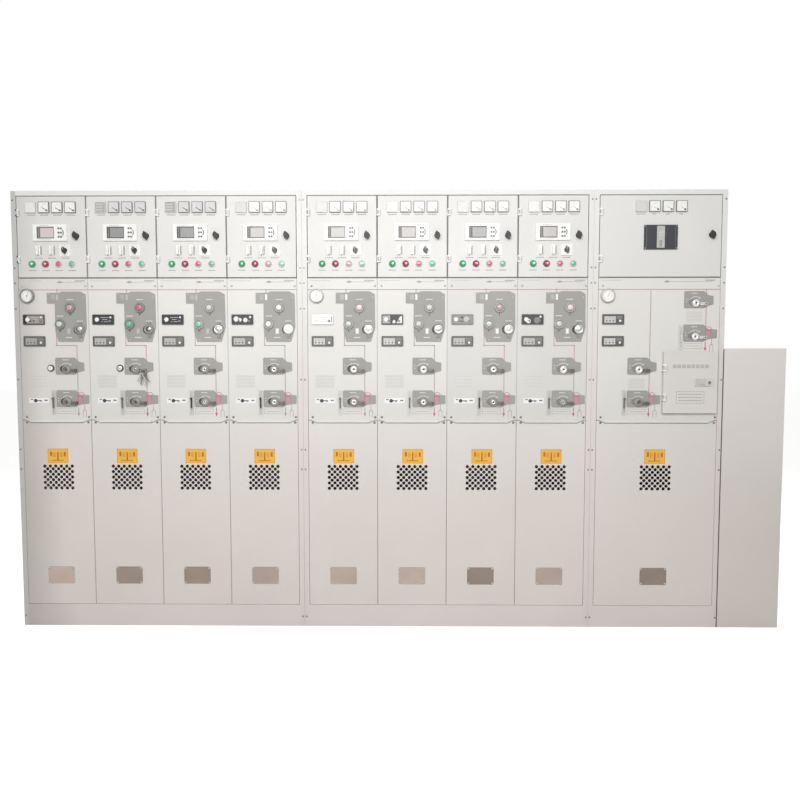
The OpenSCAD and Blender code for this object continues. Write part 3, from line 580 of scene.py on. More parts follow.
class Mould:
    """Collects small solids into one mesh.

    Points are metres and lengths millimetres. A front-facing solid grows towards -Y.
    """

    SINK = 0.05
    PRINT = 0.25

    def __init__(self, name: str, body: str, slot: str | None = None) -> None:
        """Start an empty piece.

        Args:
            name: name of the object.
            body: CAD body that it rides on.
            slot: name of a material slot of the record; not used.
        """
        self.name = name
        self.body = body
        self.slot = slot
        self.mesh = bmesh.new()
        self.finishes: list[Finish] = []

    def _add(self, solid: bmesh.types.BMesh, finish: Finish, smooth: bool = False) -> None:
        """Merge one solid into the piece.

        Args:
            solid: finished solid, freed here.
            finish: its finish.
            smooth: shade its faces smooth.
        """
        if finish not in self.finishes:
            self.finishes.append(finish)
        index = self.finishes.index(finish)
        bmesh.ops.recalc_face_normals(solid, faces=solid.faces[:])
        for face in solid.faces:
            face.material_index = index
            face.smooth = smooth
        scratch = bpy.data.meshes.new("scratch")
        solid.to_mesh(scratch)
        solid.free()
        self.mesh.from_mesh(scratch)
        bpy.data.meshes.remove(scratch)

    @staticmethod
    def _raise(solid: bmesh.types.BMesh, thick: float) -> None:
        """Give a flat sheet its thickness towards the front.

        Args:
            solid: sheet on an XZ plane.
            thick: thickness.
        """
        grown = bmesh.ops.extrude_face_region(solid, geom=solid.faces[:])["geom"]
        moved = [item for item in grown if isinstance(item, bmesh.types.BMVert)]
        bmesh.ops.translate(solid, verts=moved, vec=mm(0, -thick, 0))

    def block(self, low: Vector, high: Vector, finish: Finish, bevel: float = 0.0, turn: float = 0.0) -> None:
        """Add a box.

        Args:
            low: lowest corner.
            high: highest corner.
            finish: finish of the box.
            bevel: width of the rounded edges.
            turn: turn about the box's own forward axis, in degrees.
        """
        solid = bmesh.new()
        middle = (low + high) / 2
        place = Matrix.Translation(middle) @ Matrix.Rotation(math.radians(turn), 4, "Y")
        bmesh.ops.create_cube(solid, size=1, matrix=place @ Matrix.Diagonal((*(high - low), 1)))
        if bevel:
            bmesh.ops.bevel(solid, geom=solid.edges[:], offset=bevel * MM, segments=2, profile=0.5,
                            affect="EDGES", material=-1)
        self._add(solid, finish)

    def slab(self, centre: Vector, half: Vector, finish: Finish, bevel: float = 0.0) -> None:
        """Add a box about its centre, given half of its size."""
        self.block(centre - half, centre + half, finish, bevel)

    def bar(self, start: Vector, end: Vector, width: float, thick: float, finish: Finish) -> None:
        """Add a flat bar between two points of one XZ plane, standing proud of it.

        Args:
            start: first point on the plane.
            end: second point on the plane.
            width: width of the bar.
            thick: how far it stands out.
            finish: finish of the bar.
        """
        run = end - start
        half = Vector((run.length / 2, 0, 0)) + mm(width / 2, thick / 2 + self.SINK, width / 2)
        middle = (start + end) / 2 + mm(0, -thick / 2, 0)
        self.block(middle - half, middle + half, finish, turn=-math.degrees(math.atan2(run.z, run.x)))

    def path(self, points: Sequence[Vector], width: float, thick: float, finish: Finish) -> None:
        """Add flat bars along the corners of a broken line on one XZ plane."""
        for start, end in zip(points, points[1:]):
            self.bar(start, end, width, thick, finish)

    def prism(self, outline: Sequence[Vector], thick: float, finish: Finish) -> None:
        """Add a flat plate of any outline.

        Args:
            outline: corners on one XZ plane.
            thick: how far it stands out.
            finish: finish of the plate.
        """
        solid = bmesh.new()
        corners = [bmesh.ops.create_vert(solid, co=corner)["vert"][0] for corner in outline]
        bmesh.ops.contextual_create(solid, geom=corners)
        self._raise(solid, thick)
        self._add(solid, finish)

    def turned(self, centre: Vector, profile: Sequence[Point], finish: Finish, steps: int = 24,
               facing: Facing = Facing.FRONT, smooth: bool = True) -> None:
        """Add a turned solid.

        Args:
            centre: foot of its axis.
            profile: radius and height pairs from the foot to the crown.
            finish: finish of the solid.
            steps: sides of the solid.
            facing: side that it looks out of.
            smooth: shade its faces smooth.
        """
        solid = bmesh.new()
        points = [bmesh.ops.create_vert(solid, co=mm(radius, -height, 0))["vert"][0]
                  for radius, height in profile]
        for first, second in zip(points, points[1:]):
            bmesh.ops.contextual_create(solid, geom=[first, second])
        bmesh.ops.spin(solid, geom=solid.verts[:] + solid.edges[:], cent=(0, 0, 0),
                       axis=(0, 1, 0), angle=2 * math.pi, steps=steps, use_merge=True)
        bmesh.ops.remove_doubles(solid, verts=solid.verts[:], dist=0.01 * MM)
        bmesh.ops.transform(solid, matrix=Matrix.Translation(centre) @ facing.matrix(), verts=solid.verts[:])
        self._add(solid, finish, smooth)

    def disc(self, centre: Vector, radius: float, thick: float, finish: Finish, steps: int = 24) -> None:
        """Add a round plate with a sharp rim, from the middle of its back."""
        profile = [(0, 0), (radius, 0), (radius, thick), (0, thick)]
        self.turned(centre, profile, finish, steps, smooth=False)

    def arc(self, centre: Vector, radius: float, start: float, end: float, width: float, thick: float,
            finish: Finish, steps: int = 12) -> None:
        """Add a curved line on an XZ plane.

        Args:
            centre: centre of the curve.
            radius: radius of the line's middle.
            start: first angle in degrees, from +X towards +Z.
            end: last angle in degrees.
            width: width of the line.
            thick: how far it stands out.
            finish: finish of the line.
            steps: straight pieces in the curve.
        """
        solid = bmesh.new()
        ends = [bmesh.ops.create_vert(solid, co=centre + heading(start) * reach)["vert"][0]
                for reach in (radius - width / 2, radius + width / 2)]
        bmesh.ops.contextual_create(solid, geom=ends)
        bmesh.ops.spin(solid, geom=solid.verts[:] + solid.edges[:], cent=centre, axis=(0, -1, 0),
                       angle=math.radians(end - start), steps=steps)
        self._raise(solid, thick)
        self._add(solid, finish)

    def screw(self, centre: Vector, radius: float, finish: Finish, facing: Facing = Facing.FRONT) -> None:
        """Add a pan-head screw with a cross recess on a washer.

        Args:
            centre: middle of its seat.
            radius: radius of the head.
            finish: finish of the screw.
            facing: side that it looks out of.
        """
        shares = ((0, 0), (1.35, 0), (1.35, 0.18), (1, 0.2), (1, 0.45), (0.8, 0.72), (0.4, 0.85), (0, 0.86))
        self.turned(centre, [(out * radius, up * radius) for out, up in shares], finish, 16, facing)
        turn = facing.matrix()
        for long, high in ((0.5, 0.12), (0.12, 0.5)):
            solid = bmesh.new()
            size = mm(2 * long * radius, 0.1 * radius, 2 * high * radius)
            spot = centre + turn @ mm(0, -0.86 * radius, 0)
            bmesh.ops.create_cube(solid, size=1,
                                  matrix=Matrix.Translation(spot) @ turn @ Matrix.Diagonal((*size, 1)))
            self._add(solid, PALETTE.dark)

    def hex_bolt(self, centre: Vector, radius: float, finish: Finish) -> None:
        """Add a six-sided bolt head on a washer.

        Args:
            centre: middle of its seat.
            radius: radius over the corners.
            finish: finish of the bolt.
        """
        self.disc(centre, 1.3 * radius, 0.25 * radius, finish, 20)
        head = ((0, 0.2), (1, 0.2), (1, 0.8), (0.85, 0.95), (0, 0.95))
        self.turned(centre, [(out * radius, up * radius) for out, up in head], finish, 6, smooth=False)

    def ring_plate(self, centre: Vector, size: Point, radius: float, width: float, thick: float,
                   finish: Finish) -> None:
        """Add a flat frame with round corners.

        Args:
            centre: middle of the frame on its plane.
            size: outer width and height.
            radius: outer corner radius.
            width: width of the frame's bars.
            thick: how far it stands out.
            finish: finish of the frame.
        """
        solid = bmesh.new()
        corners = []
        for quarter, (side_x, side_z) in enumerate(((1, 1), (-1, 1), (-1, -1), (1, -1))):
            hub = centre + mm(side_x * (size[0] / 2 - radius), 0, side_z * (size[1] / 2 - radius))
            for step in range(5):
                spot = hub + heading(90 * quarter + 22.5 * step) * radius
                corners.append(bmesh.ops.create_vert(solid, co=spot)["vert"][0])
        bmesh.ops.contextual_create(solid, geom=corners)
        middle = solid.faces[:]
        bmesh.ops.inset_region(solid, faces=middle, thickness=width * MM, use_even_offset=True)
        bmesh.ops.delete(solid, geom=middle, context="FACES_ONLY")
        self._raise(solid, thick)
        self._add(solid, finish)

    def text_bars(self, centre: Vector, width: float, height: float, count: int, finish: Finish) -> None:
        """Add a row of short bars where the small print of a label sits.

        Args:
            centre: middle of the row on its plane.
            width: width of the row.
            height: height of a bar.
            count: bars in the row.
            finish: finish of the bars.
        """
        pitch = width / count
        for i in range(count):
            middle = centre + mm((i + 0.5) * pitch - width / 2, 0, 0)
            self.block(middle + mm(-0.4 * pitch, -self.PRINT, -height / 2),
                       middle + mm(0.4 * pitch, self.SINK, height / 2), finish)

    def place(self) -> bpy.types.Object:
        """Make the object, give it its finishes and let it ride on its body.

        Returns:
            The new object.
        """
        data = bpy.data.meshes.new(self.name)
        self.mesh.to_mesh(data)
        self.mesh.free()
        for finish in self.finishes:
            data.materials.append(finish.material())
        piece = bpy.data.objects.new(self.name, data)
        bpy.context.scene.collection.objects.link(piece)
        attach(piece, self.body)
        LOG.info("piece %s on %s: %d faces", self.name, self.body, len(data.polygons))
        return piece


@dataclass(frozen=True)
class Region:
    """A box of a CAD node whose faces take another finish.

    Attributes:
        low: lowest corner.
        high: highest corner.
        finish: finish of the faces in the box.
    """

    low: Vector
    high: Vector
    finish: Finish

    def holds(self, point: Vector) -> bool:
        """Tell whether a point lies in the box."""
        return all(self.low[axis] <= point[axis] <= self.high[axis] for axis in range(3))


def dress(node: str, finish: Finish, regions: Sequence[Region] = ()) -> None:
    """Give a CAD node its finish, and some of its faces another one.

    Args:
        node: name of the CAD node.
        finish: finish of the node.
        regions: boxes with other finishes; a later one wins.
    """
    data = frame["nodes"][node].data
    finishes = list(dict.fromkeys([finish, *(region.finish for region in regions)]))
    data.materials.clear()
    for item in finishes:
        data.materials.append(item.material())
    for face in data.polygons:
        face.material_index = 0
        for region in regions:
            if region.holds(face.center):
                face.material_index = finishes.index(region.finish)
    LOG.info("node %s: %s with %d other regions", node, finish.name, len(regions))


@dataclass(frozen=True)
class Unit:
    """Place of one unit in the row.

    Attributes:
        number: number from the left, from 1.
        seam: x of its left seam in metres.
        width: width from seam to seam in metres.
    """

    number: int
    seam: float
    width: float

    @property
    def middle(self) -> float:
        """The x of the middle in metres."""
        return self.seam + self.width / 2

    @property
    def right(self) -> float:
        """The x of the right seam in metres."""
        return self.seam + self.width

    @property
    def span(self) -> float:
        """Width from seam to seam in millimetres."""
        return self.width / MM


@dataclass(frozen=True)
class RowPlan:
    """Levels and seams of the row, read from the CAD nodes.

    Attributes:
        units: the nine units.
        front: y of the panels' front faces.
        door_foot: z of the doors' lower edge.
        door_top: z of the doors' upper edge.
        panel_foot: z of the mechanism panels' foot.
        panel_top: z of the mechanism panels' head.
    """

    units: tuple[Unit, ...]
    front: float
    door_foot: float
    door_top: float
    panel_foot: float
    panel_top: float

    @classmethod
    def read(cls) -> "RowPlan":
        """Read the plan from the CAD boxes.

        Returns:
            The plan of the row.
        """
        units = []
        for number in range(1, 10):
            low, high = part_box(f"lv_door_{number}")
            seam = low.x - 4 * MM
            units.append(Unit(number, seam, high.x + 4 * MM - seam))
        low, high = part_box("lv_door_1")
        panel_low, panel_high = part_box("mechanism_panels")
        return cls(tuple(units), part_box("cable_covers")[0].y, low.z, high.z, panel_low.z - 2 * MM,
                   panel_high.z + 2 * MM)

    def spot(self, unit: Unit, across: float, height: float, proud: float = 0.0) -> Vector:
        """Point on a unit's front, from millimetres off its left seam, the floor and the panels."""
        return Vector((unit.seam, self.front, 0)) + mm(across, -proud, height)


class UnitPart:
    """A sub-assembly of one unit."""

    def __init__(self, plan: RowPlan, unit: Unit) -> None:
        """Remember the place in the row and the unit's looks."""
        self.plan = plan
        self.unit = unit
        self.look = LOOKS[unit.number - 1]


@dataclass(frozen=True)
class DoorSizes:
    """Places on a low-voltage door in millimetres, from the unit's middle and the door's edges."""

    pitch: float = 71.0
    meter_drop: float = 58.0
    dial_w: float = 52.0
    dial_proud: float = 7.5
    relay_drop: float = 192.0
    relay_shift: float = -4.0
    link_drop: float = 285.0
    lamp_up: float = 70.0
    lens_r: float = 16.6
    lock_proud: float = 22.0
    selector_proud: float = 21.0
    knob_turn: float = -15.0
    lock_drop: float = 208.0
    lock_in: float = 54.0
    frame_drop: float = 220.0


class LowVoltageDoor(UnitPart):
    """One hinged low-voltage door with its instruments."""

    sizes = DoorSizes()

    @property
    def wide(self) -> bool:
        """Tell whether this is the access unit's wide door."""
        return self.unit.number == ACCESS

    def at(self, across: float, height: float, proud: float) -> Vector:
        """Point on the door, from millimetres off the unit's middle, the door's foot or top, and its face."""
        edge = self.plan.door_top if height < 0 else self.plan.door_foot
        return Vector((self.unit.middle, self.plan.front, edge)) + mm(across, -proud, height)

    def zone(self, across: float, height: float, half: Point, proud: Point, finish: Finish) -> Region:
        """Box on the door, from its middle, half sizes and nearest and furthest distance in millimetres."""
        middle = self.at(across, height, 0)
        return Region(middle + mm(-half[0], -proud[1], -half[1]),
                      middle + mm(half[0], -proud[0], half[1]), finish)

    def columns(self) -> list[float]:
        """Four instrument columns in millimetres from the unit's middle."""
        return [(i - 1.5) * self.sizes.pitch for i in range(4)]

    def dress(self) -> None:
        """Paint the door and the faces of its fittings."""
        # The first door takes the paint with painted shade towards the row's left end.
        dress(f"lv_door_{self.unit.number}", PALETTE.door_left_shade if self.unit.number == 1 else PALETTE.door)
        s = self.sizes
        regions = []
        for i, column in enumerate(self.columns()):
            rim = PALETTE.display if i == 0 else PALETTE.bezel
            regions.append(self.zone(column, -s.meter_drop, (29.5, 29.5), (-0.1, 10), rim))
        lock_x = self.unit.span / 2 - s.lock_in
        regions.append(self.zone(lock_x, -s.lock_drop, (26, 26), (-0.1, 23), PALETTE.black))
        if self.wide:
            regions.append(self.zone(0, -s.frame_drop, (90, 66), (-0.1, 8), PALETTE.slate))
            regions.append(self.zone(0, -s.frame_drop, (21.9, 62), (1, 6.9), PALETTE.panel_mid))
        else:
            regions.extend(self.unit_regions())
        dress(f"lv_fittings_{self.unit.number}", PALETTE.case, regions)

    def unit_regions(self) -> list[Region]:
        """Regions of the fittings that only the switch units have.

        Returns:
            The regions, of which a later one wins.
        """
        s = self.sizes
        found = [
            self.zone(s.relay_shift, -s.relay_drop, (91.5, 43.5), (-0.1, 13), PALETTE.white),
            self.zone(s.relay_shift - 23.5, -s.relay_drop, (46.6, 31.1), (7.5, 9.95), self.look.rim),
            self.zone(s.relay_shift + 54.5, -s.relay_drop, (13, 28), (10.05, 13), PALETTE.monitor),
            self.zone(-s.pitch, -s.link_drop, (11, 27), (-0.1, 21), PALETTE.white),
            self.zone(0, -s.link_drop, (11, 27), (-0.1, 21), PALETTE.white),
            self.zone(s.pitch, -s.link_drop, (30, 30), (-0.1, 5.02), PALETTE.white),
            self.zone(s.pitch, -s.link_drop, (26, 26), (5.1, 30),
                      PALETTE.black if self.unit.number in DARK_UNITS else PALETTE.knob),
        ]
        columns = self.columns()
        lenses = (PALETTE.lamp_green, PALETTE.lamp_red, PALETTE.display, PALETTE.display)
        for column, lens in zip(columns, lenses):
            found.append(self.zone(column, s.lamp_up, (19, 19), (-0.1, 20), lens))
        for column, cap in zip(columns[2:], self.caps()):
            found.append(self.zone(column, s.lamp_up, (13.1, 13.1), (8.1, 11), cap))
        return found

    def caps(self) -> tuple[Finish, Finish]:
        """Finishes of the two push buttons.

        Returns:
            The finish of the red one and of the green one.
        """
        if self.unit.number in PALE_CAPS:
            return PALETTE.cap_rose, PALETTE.cap_ice
        return PALETTE.cap_red, PALETTE.cap_green

    def build(self) -> None:
        """Add the dials, screens, lenses and printed marks."""
        marks = Mould(f"door_{self.unit.number}_marks", f"door_{self.unit.number}")
        columns = self.columns()
        self.multimeter(marks, columns[0])
        for column in columns[1:]:
            self.dial(marks, column)
        for column in columns:
            width = 20 if self.wide and column > columns[0] else 46
            marks.text_bars(self.at(column, -98, 0), width, 5, 5, PALETTE.grey_ink)
        if self.wide:
            self.breaker(marks)
        else:
            self.relay(marks)
            self.selector(marks)
            for column in (-self.sizes.pitch, 0, self.sizes.pitch):
                marks.text_bars(self.at(column, -325, 0), 44, 5, 5, PALETTE.grey_ink)
            for column in columns:
                marks.text_bars(self.at(column, 36, 0), 40, 5, 5, PALETTE.grey_ink)
            self.lamps(marks)
        self.lock(marks)
        marks.place()

    def multimeter(self, marks: Mould, column: float) -> None:
        """Add the display of the first instrument.

        Args:
            marks: piece to add to.
            column: millimetres from the unit's middle.
        """
        s = self.sizes
        middle = self.at(column, -s.meter_drop, s.dial_proud)
        wide = 29 if self.wide else s.dial_w / 2
        half = mm(wide, 0.3, wide)
        marks.slab(middle, half, Screen(f"multimeter_{self.unit.number}", self.look.first, 0.05))
        if self.unit.number not in DIM_DOORS:
            return
        for row in range(3):
            spot = middle + mm(-5, -0.3, 14 - 14 * row)
            marks.text_bars(spot, 34, 7, 4, PALETTE.faint_ink)
        for key in range(4):
            marks.disc(middle + mm(key * 11 - 16.5, -0.3, -21.5), 2.4, 0.8, PALETTE.grey_ink, 12)

    def dial(self, marks: Mould, column: float) -> None:
        """Add the dial card, scale and needle of a pointer meter.

        Args:
            marks: piece to add to.
            column: millimetres from the unit's middle.
        """
        s = self.sizes
        middle = self.at(column, -s.meter_drop, s.dial_proud)
        half = mm(s.dial_w / 2, 0.2, s.dial_w / 2)
        marks.slab(middle, half, PALETTE.card_dim if self.unit.number in DIM_DOORS else PALETTE.card)
        pivot = middle + mm(17, -0.2, -17)
        marks.arc(pivot, 35, 93, 177, 1, 0.15, PALETTE.faint_ink)
        for step in range(9):
            way = heading(93 + 10.5 * step)
            reach = 32.5 if step % 2 else 30.5
            marks.bar(pivot + way * reach, pivot + way * 35, 0.9, 0.15, PALETTE.faint_ink)
        tip = heading(148)
        lift = mm(0, -0.5, 0)
        bold = 3 if self.unit.number in DARK_UNITS else 1.2
        marks.bar(pivot + lift, pivot + lift + tip * 26, bold, 0.3, PALETTE.ink)
        marks.disc(pivot, 5, 1.1, PALETTE.case, 20)
        marks.disc(pivot + mm(0, -1, 0), 1.6, 0.5, PALETTE.steel, 12)

    def relay(self, marks: Mould) -> None:
        """Add the protection relay's display, light column and key marks.

        Args:
            marks: piece to add to.
        """
        s = self.sizes
        centre = self.at(s.relay_shift, -s.relay_drop, 8)
        low = centre + mm(-52, -0.6, -25)
        high = centre + mm(19, 0.1, 25)
        marks.block(low, high, Screen(f"relay_screen_{self.unit.number}", self.look.screen))
        for row in range(6):
            spot = centre + mm(-61, 0, 24 - 9.6 * row)
            marks.disc(spot, 1.8, 1, PALETTE.guide, 12)
        face = self.at(s.relay_shift, -s.relay_drop, 10)
        marks.arc(face + mm(49, 0, 0), 24, -38, 38, 4.6, 1.2, PALETTE.monitor)
        for x in (48, 61):
            for row in (-22, 0, 22):
                marks.disc(face + mm(x, 0, row), 5.2, 2.3, PALETTE.monitor, 16)
        marks.text_bars(face + mm(-30, 0, 37), 50, 4, 6, PALETTE.faint_ink)
        marks.text_bars(face + mm(-30, 0, -37), 70, 3, 8, PALETTE.faint_ink)

    def selector(self, marks: Mould) -> None:
        """Add the pointer line and position marks of the selector, the link slots, and the painted shadows
        beside the links.

        Args:
            marks: piece to add to.
        """
        s = self.sizes
        face = self.at(s.pitch, -s.link_drop, 5)
        for turn in (55, 90, 125):
            way = heading(turn)
            marks.bar(face + way * 22, face + way * 26, 1.6, 0.2, PALETTE.ink)
        crown = self.at(s.pitch, -s.link_drop, s.selector_proud)
        lean = heading(90 - s.knob_turn)
        marks.bar(crown + lean * 4, crown + lean * 17, 1.8, 0.3, PALETTE.white_ink)
        for column in (-s.pitch, 0):
            slot = self.at(column, -s.link_drop, 20)
            marks.bar(slot + mm(0, 0, -9), slot + mm(0, 0, 9), 1.6, 0.2, PALETTE.faint_ink)
            # Painted shadow: a grey bar along the right side of each test link.
            foot = self.at(column + 14, -s.link_drop, 0)
            marks.bar(foot + mm(0, 0, -20), foot + mm(0, 0, 20), 5, 4, PALETTE.clip)
            for end in (-1, 1):
                marks.disc(self.at(column, -s.link_drop, 5) + mm(0, 0, end * 24.2), 1.6,
                           0.8, PALETTE.zinc, 12)

    def lamps(self, marks: Mould) -> None:
        """Add the domed lenses of the lamps with their painted highlights, and the caps of the buttons.

        Args:
            marks: piece to add to.
        """
        s = self.sizes
        columns = self.columns()
        for column, lens, glint in ((columns[0], PALETTE.lamp_green, PALETTE.glint_green),
                                    (columns[1], PALETTE.lamp_red, PALETTE.glint_red)):
            dome = [(s.lens_r, 4.6)]
            for step in range(8):
                turn = math.radians(90 / 7 * step)
                dome.append((s.lens_r * math.cos(turn), 7.4 + 11.2 * math.sin(turn)))
            marks.turned(self.at(column, s.lamp_up, 0), dome, lens, 28)
            # Painted highlight: a pale glowing disc on each lamp's dome, right of its crown.
            spot = self.at(column + 3, s.lamp_up, 17.6)
            marks.turned(spot, [(7, 0), (5, 1.1), (0, 1.5)], glint, 20)
        for column, lens in zip(columns[2:], self.caps()):
            cap = [(12.9, 9.6), (12.9, 10.4), (11.4, 11.3), (0, 10.9)]
            marks.turned(self.at(column, s.lamp_up, 0), cap, lens, 28)

    def lock(self, marks: Mould) -> None:
        """Add the key plug in the lock handle.

        Args:
            marks: piece to add to.
        """
        s = self.sizes
        crown = self.at(self.unit.span / 2 - s.lock_in, -s.lock_drop, s.lock_proud)
        marks.turned(crown + mm(0, 4, 0), [(0, 0), (6, 0), (6, 3.6), (0, 3.6)],
                     PALETTE.bezel, 20, smooth=False)

    def breaker(self, marks: Mould) -> None:
        """Add the small breaker in the wide door's cover frame.

        Args:
            marks: piece to add to.
        """
        middle = self.at(0, -self.sizes.frame_drop, 2)
        for row, width, finish in ((44, 14, PALETTE.grey_ink), (24, 24, PALETTE.faint_ink),
                                   (8, 24, PALETTE.faint_ink), (-20, 16, PALETTE.bezel),
                                   (-29, 16, PALETTE.bezel), (-38, 16, PALETTE.bezel),
                                   (-47, 12, PALETTE.bezel)):
            half = mm(width / 2, 0.7, 2.8)
            spot = middle + mm(0, -0.6, row)
            marks.slab(spot, half, finish, 0.3)
        face = self.at(0, -self.sizes.frame_drop, 7)
        for side in (-1, 1):
            for end in (-1, 1):
                marks.screw(face + mm(side * 82, 0, end * 58), 2.6, PALETTE.zinc)
            groove = face + mm(side * 76, 0, 0)
            marks.bar(groove + mm(0, 0, -50), groove + mm(0, 0, 50), 1.2, 0.2, PALETTE.bezel)


class FaultFace(Enum):
    """Looks of the upper indicator of a unit."""

    GREY = "grey"
    DARK = "dark"
    GLARE = "glare"
    PALE = "pale"
    SPLIT = "split"
    CLOUDY = "cloudy"
    HAZY = "hazy"
    TWIN = "twin"


@dataclass(frozen=True)
class UnitLook:
    """Looks in which a unit differs from its neighbours.

    Attributes:
        face: upper indicator.
        close_cap: finish of the closing button; a white one paints glare on the cap.
        open_cap: finish of the opening button; a white one paints glare on the cap.
        line: ink of the mimic diagram.
        window: screen colour of the inspection glass, whose tone per unit paints its reflection.
        screen: screen colour of the relay's display.
        rim: finish of the display's frame.
        first: screen colour of the first instrument.
        bright: radii of the two operating sockets' bright chrome faces in millimetres, the disconnector's
            first; 0 gives a dull dark face that paints shade.
        glass: finish of the voltage indicator's window.
        charging: finish of the charging socket's shell; the white one paints glare and the grey collar one
            paints shade.
    """

    face: FaultFace
    close_cap: Finish
    open_cap: Finish
    line: Finish
    window: Colour
    screen: Colour
    rim: Finish
    first: Colour
    bright: Point
    glass: Finish
    charging: Finish


LOOKS: tuple[UnitLook, ...] = (
    UnitLook(FaultFace.GREY, PALETTE.cap_rose, PALETTE.pale_green, PALETTE.line_pink, (202, 179, 166),
             (198, 186, 186), PALETTE.monitor, (222, 218, 219), (0, 0),
             PALETTE.panel_face, PALETTE.collar),
    UnitLook(FaultFace.DARK, PALETTE.cap_red, PALETTE.cap_green, PALETTE.line_pink, (158, 141, 129),
             (136, 137, 137), PALETTE.rim_dark, (168, 166, 164), (7, 0),
             PALETTE.panel_mid, PALETTE.collar),
    UnitLook(FaultFace.DARK, PALETTE.display, PALETTE.mint, PALETTE.line_pink, (155, 138, 124),
             (140, 141, 141), PALETTE.rim_dark, (157, 156, 155), (11, 9),
             PALETTE.panel_mid, PALETTE.steel),
    UnitLook(FaultFace.GLARE, PALETTE.white, PALETTE.white, PALETTE.line_grey, (177, 159, 149),
             (147, 142, 139), PALETTE.rim_pale, (166, 164, 162), (13, 12),
             PALETTE.panel_mid, PALETTE.white),
    UnitLook(FaultFace.PALE, PALETTE.pale_red, PALETTE.pale_green, PALETTE.line_grey, (193, 175, 164),
             (154, 150, 145), PALETTE.rim_pale, (174, 174, 171), (18, 14),
             PALETTE.panel_pale, PALETTE.chrome),
    UnitLook(FaultFace.SPLIT, PALETTE.display, PALETTE.display, PALETTE.line_grey, (196, 179, 168),
             (147, 141, 138), PALETTE.rim_pale, (188, 187, 185), (22, 14),
             PALETTE.panel_pale, PALETTE.steel),
    UnitLook(FaultFace.CLOUDY, PALETTE.cap_rose, PALETTE.pale_green, PALETTE.line_pink, (146, 130, 119),
             (108, 105, 102), PALETTE.rim_dark, (180, 178, 176), (16, 10),
             PALETTE.panel_mid, PALETTE.chrome),
    UnitLook(FaultFace.HAZY, PALETTE.pale_red, PALETTE.pale_green, PALETTE.line_pink, (187, 170, 159),
             (145, 140, 138), PALETTE.rim_pale, (190, 189, 187), (20, 8),
             PALETTE.panel_mid, PALETTE.steel),
    UnitLook(FaultFace.TWIN, PALETTE.silver, PALETTE.silver, PALETTE.line_grey, (146, 130, 117),
             (145, 140, 138), PALETTE.rim_pale, (204, 201, 199), (22, 0),
             PALETTE.panel_pale, PALETTE.chrome),
)


@dataclass(frozen=True)
class MechanismSizes:
    """Places on a mechanism panel in millimetres, from the unit's left seam and the floor."""

    bus_z: float = 1841.0
    line_w: float = 4.2
    feeder_x: float = 307.0
    plate_t: float = 3.0
    breaker_z: float = 1563.0
    close_at: Point = (279.0, 1745.0)
    open_at: Point = (222.0, 1657.0)
    charging_at: Point = (328.0, 1630.0)
    switch_x: float = 189.0
    earthing_z: float = 1210.3
    disconnector_z: float = 1386.7
    socket_at: Point = (60.0, 28.0)
    indicator_x: float = 81.0
    fault_z: float = 1682.0
    voltage_z: float = 1566.0
    gauge_at: Point = (50.0, 1808.0)
    gauge_dial: float = 10.0
    case_proud: float = 6.0
    lens_proud: float = 6.3
    face_proud: float = 6.4
    glass_proud: float = 6.8
    socket_r: float = 19.4
    dull_r: float = 12.0


